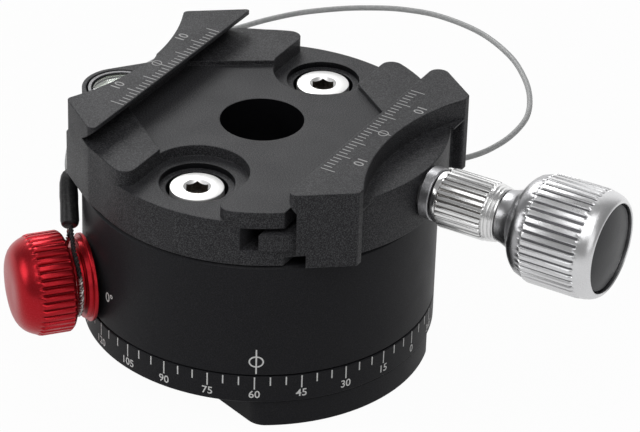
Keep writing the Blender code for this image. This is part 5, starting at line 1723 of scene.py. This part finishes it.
@dataclass
class Lanyard(Assembly):
    """Steel wire lanyard from the drum's anchor to a loop round the red knob's neck."""

    wire_diameter: float = 1.0
    strand_diameter: float = 0.9
    ferrule_radius: float = 1.6
    ferrule_bottom: Place = (-24.45, -21.05, 23.35)
    ferrule_top: Place = (-29.40, -14.12, 28.80)
    route: tuple[Place, ...] = (
        (-29.55, -13.91, 28.96), (-30.45, -12.62, 29.76), (-32.00, -9.80, 30.35), (-34.20, -5.40, 30.45),
        (-36.30, 0.20, 30.30), (-37.60, 6.50, 30.00), (-38.30, 13.50, 29.70), (-38.20, 21.00, 29.30),
        (-37.30, 29.00, 28.90), (-35.60, 37.00, 28.60), (-33.70, 43.20, 28.40), (-31.90, 47.60, 28.20),
        (-29.60, 52.10, 28.20), (-26.00, 57.50, 28.20), (-20.90, 62.70, 28.20), (-16.20, 66.20, 28.20),
        (-10.80, 69.00, 28.20), (-3.70, 70.40, 28.20), (5.50, 68.80, 28.20), (14.00, 64.00, 28.20),
        (20.10, 58.00, 28.20), (24.30, 51.90, 28.20), (27.00, 45.30, 28.20), (27.60, 38.20, 28.20),
        (26.50, 32.50, 28.00), (24.57, 28.77, 27.75), (21.95, 25.70, 27.60))
    neck_radius: float = 5.3
    loop_s: float = 32.9
    coat_centre: Point = (-8.95, 1.72)
    coat_reach: float = 6.55
    path_points: int = 260
    sleeve_shape: tuple[Point, ...] = (
        (0.0, 0.72), (0.03, 0.90), (0.10, 1.0), (0.42, 0.97), (0.55, 1.0), (0.80, 0.95), (0.93, 0.78),
        (1.0, 0.55))
    sleeve_edge: float = 0.1
    loop_steps: int = 60
    loop_stretch: float = 0.35
    strands: int = 3
    strand_depth: float = 0.18
    lay: float = 2.2

    def build(self) -> None:
        path = curved_route(list(self.route), self.path_points)
        ends = (self.route[-1], self.ferrule_top)
        wire = Workpiece("wire", swept(path, self.wire_diameter / 2, 18)).span(
            (Body.DRUM, Body.CARRIAGE), ends, self.finishes.get("wire"), "lanyard_wire")
        sleeve = self.build_sleeve()
        loop = self.build_loop()

    def build_sleeve(self) -> bpy.types.Object:
        """Make the black shrink sleeve, drawn in at its ends.

        Returns:
            The mounted sleeve.
        """
        bottom = Vector(self.ferrule_bottom)
        along = Vector(self.ferrule_top) - bottom
        loops = [circle(self.ferrule_radius * out, along.length * up, 40) for up, out in self.sleeve_shape]
        stand = Matrix.Translation(bottom) @ along.to_track_quat("Z", "Y").to_matrix().to_4x4()
        return self.put("wire_sleeve", placed(lofted(loops, False), stand), Body.CARRIAGE, "sleeve_black",
                        ("lanyard_ferrule",), self.sleeve_edge).item

    def loop_route(self) -> list[Vector]:
        """Return the loop's path: from the sleeve once round the knob's neck and back.

        Returns:
            Points of the centreline.
        """
        radius = self.neck_radius + GAP + self.strand_diameter / 2
        place = Axis.INDEX.matrix()
        bottom = Vector(self.ferrule_bottom)
        along = (Vector(self.ferrule_top) - bottom).normalized()
        local = place.inverted() @ bottom
        toward = math.atan2(local.y, local.x)
        spread = math.acos(radius / math.hypot(local.x, local.y))
        across = place.to_3x3() @ Vector((math.sin(toward), -math.cos(toward), 0))
        side = (across - along * across.dot(along)).normalized() * (self.strand_diameter / 2 + GAP)
        ends = [bottom - along * GAP - side, bottom - along * GAP + side]
        leads = [end - along * self.strand_diameter for end in ends]
        turn = math.tau - 2 * spread
        angles = [toward + spread + turn * k / self.loop_steps for k in range(self.loop_steps + 1)]
        around = [place @ Vector((radius * math.cos(angle), radius * math.sin(angle), self.loop_s))
                  for angle in angles]
        return [ends[0], leads[0]] + around + [leads[1], ends[1]]

    def build_loop(self) -> bpy.types.Object:
        """Make the twisted loop on the red knob's neck, black where the coat reaches.

        Returns:
            The mounted loop.
        """
        route = self.loop_route()
        fine = []
        for one, other in zip(route, route[1:]):
            pieces = max(1, round((other - one).length / self.loop_stretch))
            fine += [one.lerp(other, k / pieces) for k in range(pieces)]
        fine.append(route[-1])
        form = swept(fine, self.strand_diameter / 2, 24, self.strands, self.strand_depth, self.lay)
        piece = self.put("wire_loop", form, Body.CARRIAGE, "strand", ("lanyard_loop",))
        piece.paint(self.finishes.get("sleeve_black"), self.coat_centre, (0.0, self.coat_reach),
                    (self.loop_s - self.neck_radius, self.loop_s + self.neck_radius), Axis.INDEX)
        return piece.item


@dataclass
class Springs(Assembly):
    """Coil springs behind the moving jaw and behind the index pin."""

    wire_diameter: float = 0.4
    curl_steps: int = 24
    jaw_radius: float = 1.6
    jaw_turns: int = 5
    jaw_span: Point = (7.8, 14.8)
    jaw_spread: float = 12.0
    jaw_height: float = 36.35
    pin_radius: float = 1.0
    pin_turns: int = 4
    pin_span: Point = (30.1, 34.7)

    def build(self) -> None:
        """Make the three springs, each coiled between the places of its two ends."""
        near, far = self.jaw_span
        for side, y in (("front", -self.jaw_spread), ("back", self.jaw_spread)):
            turn = Matrix.Rotation(math.pi / 2, 3, "Y")
            place = Matrix.LocRotScale(Vector((0, y, self.jaw_height)), turn, None)
            self.hold("jaw_coil_" + side, self.coil(place, self.jaw_radius, self.jaw_span, self.jaw_turns),
                      (Body.DRUM, Body.JAW), ((near, y, self.jaw_height), (far, y, self.jaw_height)),
                      "jaw_spring_" + side)
        place = Axis.INDEX.matrix()
        inner, outer = (tuple(place @ Vector((0, 0, along))) for along in self.pin_span)
        self.hold("pin_coil", self.coil(place, self.pin_radius, self.pin_span, self.pin_turns),
                  (Body.INDEX_PIN, Body.INDEX_KNOB), (inner, outer), "plunger_spring")

    def hold(self, name: str, coil: bmesh.types.BMesh, bodies: tuple[Body, Body], ends: tuple[Place, Place],
             node: str) -> None:
        """Dress a coil in its place for one node of the frame."""
        Workpiece(name, coil).span(bodies, ends, self.finishes.get("steel"), node)

    def coil(self, place: Matrix, radius: float, span: Point, turns: int) -> bmesh.types.BMesh:
        """Return a round coil along the local Z of a place.

        Args:
            place: Frame of the coil's axis.
            radius: Radius of the wire's centreline.
            span: Where the centreline starts and ends along the axis.
            turns: Number of curls.

        Returns:
            The solid.
        """
        steps = turns * self.curl_steps
        points = []
        for k in range(steps + 1):
            angle = math.tau * k / self.curl_steps
            along = span[0] + (span[1] - span[0]) * k / steps
            points.append(place @ Vector((radius * math.cos(angle), radius * math.sin(angle), along)))
        return swept(points, self.wire_diameter / 2, 10)


@dataclass
class InnerPieces(Assembly):
    """Nodes of the frame whose shape stays and that only get their finish."""

    dressing: dict[str, str] = field(default_factory=lambda: {
        "index_ring": "brass", "lower_washer": "brass", "upper_washer": "brass", "retaining_nut": "steel",
        "base_screw_1": "dull_steel", "base_screw_2": "dull_steel", "base_screw_3": "dull_steel",
        "guide_pin_front": "steel", "guide_pin_back": "steel", "plunger_body": "brass", "index_pin": "steel",
        "lanyard_anchor": "steel"})

    def build(self) -> None:
        """Give each node its material."""
        for node, finish in self.dressing.items():
            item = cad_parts[node]
            item.data.materials.clear()
            item.data.materials.append(self.finishes.get(finish))
            LOG.info("%s dressed", node)


@dataclass(frozen=True)
class Lamp:
    """A square soft lamp that faces the head."""

    name: str
    place: Place
    size: float
    power: float

    def hang(self, target: Place) -> None:
        """Hang the lamp.

        Args:
            target: Place that it faces.
        """
        data = bpy.data.lights.new(self.name, "AREA")
        data.shape = "SQUARE"
        data.size = self.size * MM
        data.energy = self.power
        lamp = bpy.data.objects.new(self.name, data)
        where = Vector(self.place) * MM
        turn = (Vector(target) * MM - where).to_track_quat("-Z", "Y").to_matrix()
        lamp.matrix_world = Matrix.LocRotScale(where, turn, None)
        bpy.context.scene.collection.objects.link(lamp)


@dataclass
class Studio:
    """Pale floor, soft lamps and the camera at the photograph's place."""

    camera_place: Place = (246.16, -421.02, 320.26)
    azimuth: float = math.radians(-60.877)
    elevation: float = math.radians(31.375)
    roll: float = math.radians(1.821)
    focal_pixels: float = 3380.155
    image_width: float = 640.0
    sensor: float = 36.0
    floor_half: float = 6000.0
    floor_grey: float = 0.60
    floor_roughness: float = 0.9
    floor_glow: float = 0.97
    floor_rise: Point = (-0.02, 0.08)
    near_floor: float = 0.62
    sky_rise: Point = (0.35, 0.9)
    dark_side: float = 0.18
    room: float = 0.10
    target: Place = (0.0, 0.0, 25.0)
    lamps: tuple[Lamp, ...] = (
        Lamp("key_softbox", (-330.0, 300.0, 420.0), 260.0, 1.3),
        Lamp("overhead_softbox", (120.0, -260.0, 560.0), 480.0, 1.4),
        Lamp("left_softbox", (-420.0, -380.0, 260.0), 300.0, 0.78),
        Lamp("right_softbox", (480.0, -300.0, 260.0), 320.0, 0.30))

    def build(self) -> None:
        """Set up camera, floor, world and lamps."""
        self.place_camera()
        self.lay_floor()
        self.fill_world()
        for lamp in self.lamps:
            lamp.hang(self.target)

    def place_camera(self) -> None:
        """Put the camera where the photograph was taken from."""
        toward = Vector((math.cos(self.elevation) * math.cos(self.azimuth),
                         math.cos(self.elevation) * math.sin(self.azimuth), math.sin(self.elevation)))
        right = (-toward).cross(Vector((0, 0, 1))).normalized()
        up = toward.cross(right)
        across = right * math.cos(self.roll) + up * math.sin(self.roll)
        upward = up * math.cos(self.roll) - right * math.sin(self.roll)
        data = bpy.data.cameras.new("photo_camera")
        data.sensor_fit = "HORIZONTAL"
        data.sensor_width = self.sensor
        data.lens = self.focal_pixels / self.image_width * self.sensor
        data.clip_end = 100.0
        camera = bpy.data.objects.new("photo_camera", data)
        turn = Matrix((across, upward, toward)).transposed()
        camera.matrix_world = Matrix.LocRotScale(Vector(self.camera_place) * MM, turn, None)
        bpy.context.scene.collection.objects.link(camera)
        bpy.context.scene.camera = camera

    def toward_backdrop(self, graph: Graph, place: bpy.types.NodeSocket, span: Point,
                        dark: float) -> bpy.types.NodeSocket:
        """Return a socket that rises to 1 toward the white backdrop behind the head.

        Args:
            graph: Graph to add to.
            place: Direction or place to test.
            span: Reach toward the backdrop at which the rise starts, and at which it is complete.
            dark: Level on the camera's side.

        Returns:
            The rise, from the dark level to 1.
        """
        reach = graph.add("ShaderNodeVectorMath", {
            0: place, 1: (-math.cos(self.azimuth), -math.sin(self.azimuth), 0.0)}, operation="DOT_PRODUCT")
        rise = graph.add("ShaderNodeMapRange", {
            "Value": reach.outputs["Value"], "From Min": span[0], "From Max": span[1], "To Min": dark},
            interpolation_type="SMOOTHSTEP")
        return rise.outputs["Result"]

    def seen_or_mirrored(self, graph: Graph) -> bpy.types.NodeSocket:
        """Return a socket that is 1 for camera, glossy and transmission rays.

        Args:
            graph: Graph to add to.

        Returns:
            The largest of the three light path values.
        """
        path = graph.add("ShaderNodeLightPath", {}).outputs
        seen = graph.compute("MAXIMUM", path["Is Camera Ray"], path["Is Glossy Ray"])
        return graph.compute("MAXIMUM", seen, path["Is Transmission Ray"])

    def lay_floor(self) -> None:
        """Lay a wide pale floor that keeps the head's soft shadow."""
        bm = bmesh.new()
        bmesh.ops.create_grid(bm, x_segments=4, y_segments=4, size=self.floor_half * MM)
        mesh = bpy.data.meshes.new("studio_floor")
        bm.to_mesh(mesh)
        bm.free()
        floor = bpy.data.objects.new("studio_floor", mesh)
        bpy.context.scene.collection.objects.link(floor)
        material, graph, shader = new_material("pale_floor")
        graph.feed(shader, {"Base Color": (*[self.floor_grey] * 3, 1.0), "Roughness": self.floor_roughness})
        glow = graph.add("ShaderNodeEmission", {"Color": (1.0, 1.0, 1.0, 1.0)})
        place = graph.add("ShaderNodeNewGeometry", {}).outputs["Position"]
        camera_ray = graph.add("ShaderNodeLightPath", {}).outputs["Is Camera Ray"]
        behind = self.toward_backdrop(graph, place, self.floor_rise, self.near_floor)
        level = graph.compute("MAXIMUM", behind, camera_ray)
        lit = graph.compute("MULTIPLY", self.seen_or_mirrored(graph), level)
        share = graph.compute("MULTIPLY", lit, self.floor_glow)
        blend = graph.add("ShaderNodeMixShader", {
            "Fac": share, 1: shader.outputs["BSDF"], 2: glow.outputs["Emission"]})
        graph.feed(graph.tree.nodes["Material Output"], {"Surface": blend.outputs["Shader"]})
        mesh.materials.append(material)

    def fill_world(self) -> None:
        """Fill the room with plain soft light that is brighter toward the backdrop."""
        world = bpy.data.worlds.new("studio_world")
        world.use_nodes = True
        graph = Graph(world.node_tree)
        direction = graph.add("ShaderNodeTexCoord", {}).outputs["Generated"]
        backdrop = self.toward_backdrop(graph, direction, self.sky_rise, self.dark_side)
        share = graph.compute("MULTIPLY", self.seen_or_mirrored(graph), backdrop)
        level = graph.add("ShaderNodeMapRange", {"Value": share, "To Min": self.room})
        graph.feed(graph.tree.nodes["Background"], {
            "Color": (1.0, 1.0, 1.0, 1.0), "Strength": level.outputs["Result"]})
        bpy.context.scene.world = world


def main() -> None:
    """Build every sub-assembly in order."""
    logging.basicConfig(level=logging.INFO, format="%(name)s: %(message)s")
    finishes = Finishes()
    assemblies = [
        Studio(), Lanyard(finishes), Base(finishes), DialScale(finishes), Drum(finishes), ClampBody(finishes),
        JawScale(finishes, "fixed_ruler", Body.DRUM, -17.6, -1), ClampScrews(finishes), BubbleLevel(finishes),
        MovingJaw(finishes), JawScale(finishes, "moving_ruler", Body.JAW, 19.83, 1), ClampKnob(finishes),
        IndexKnob(finishes), Springs(finishes), InnerPieces(finishes)]
    for assembly in assemblies:
        LOG.info("building %s", type(assembly).__name__)
        assembly.build()
    bpy.context.scene.view_settings.view_transform = "Standard"
    bpy.context.view_layer.update()


if __name__ == "__main__":
    main()
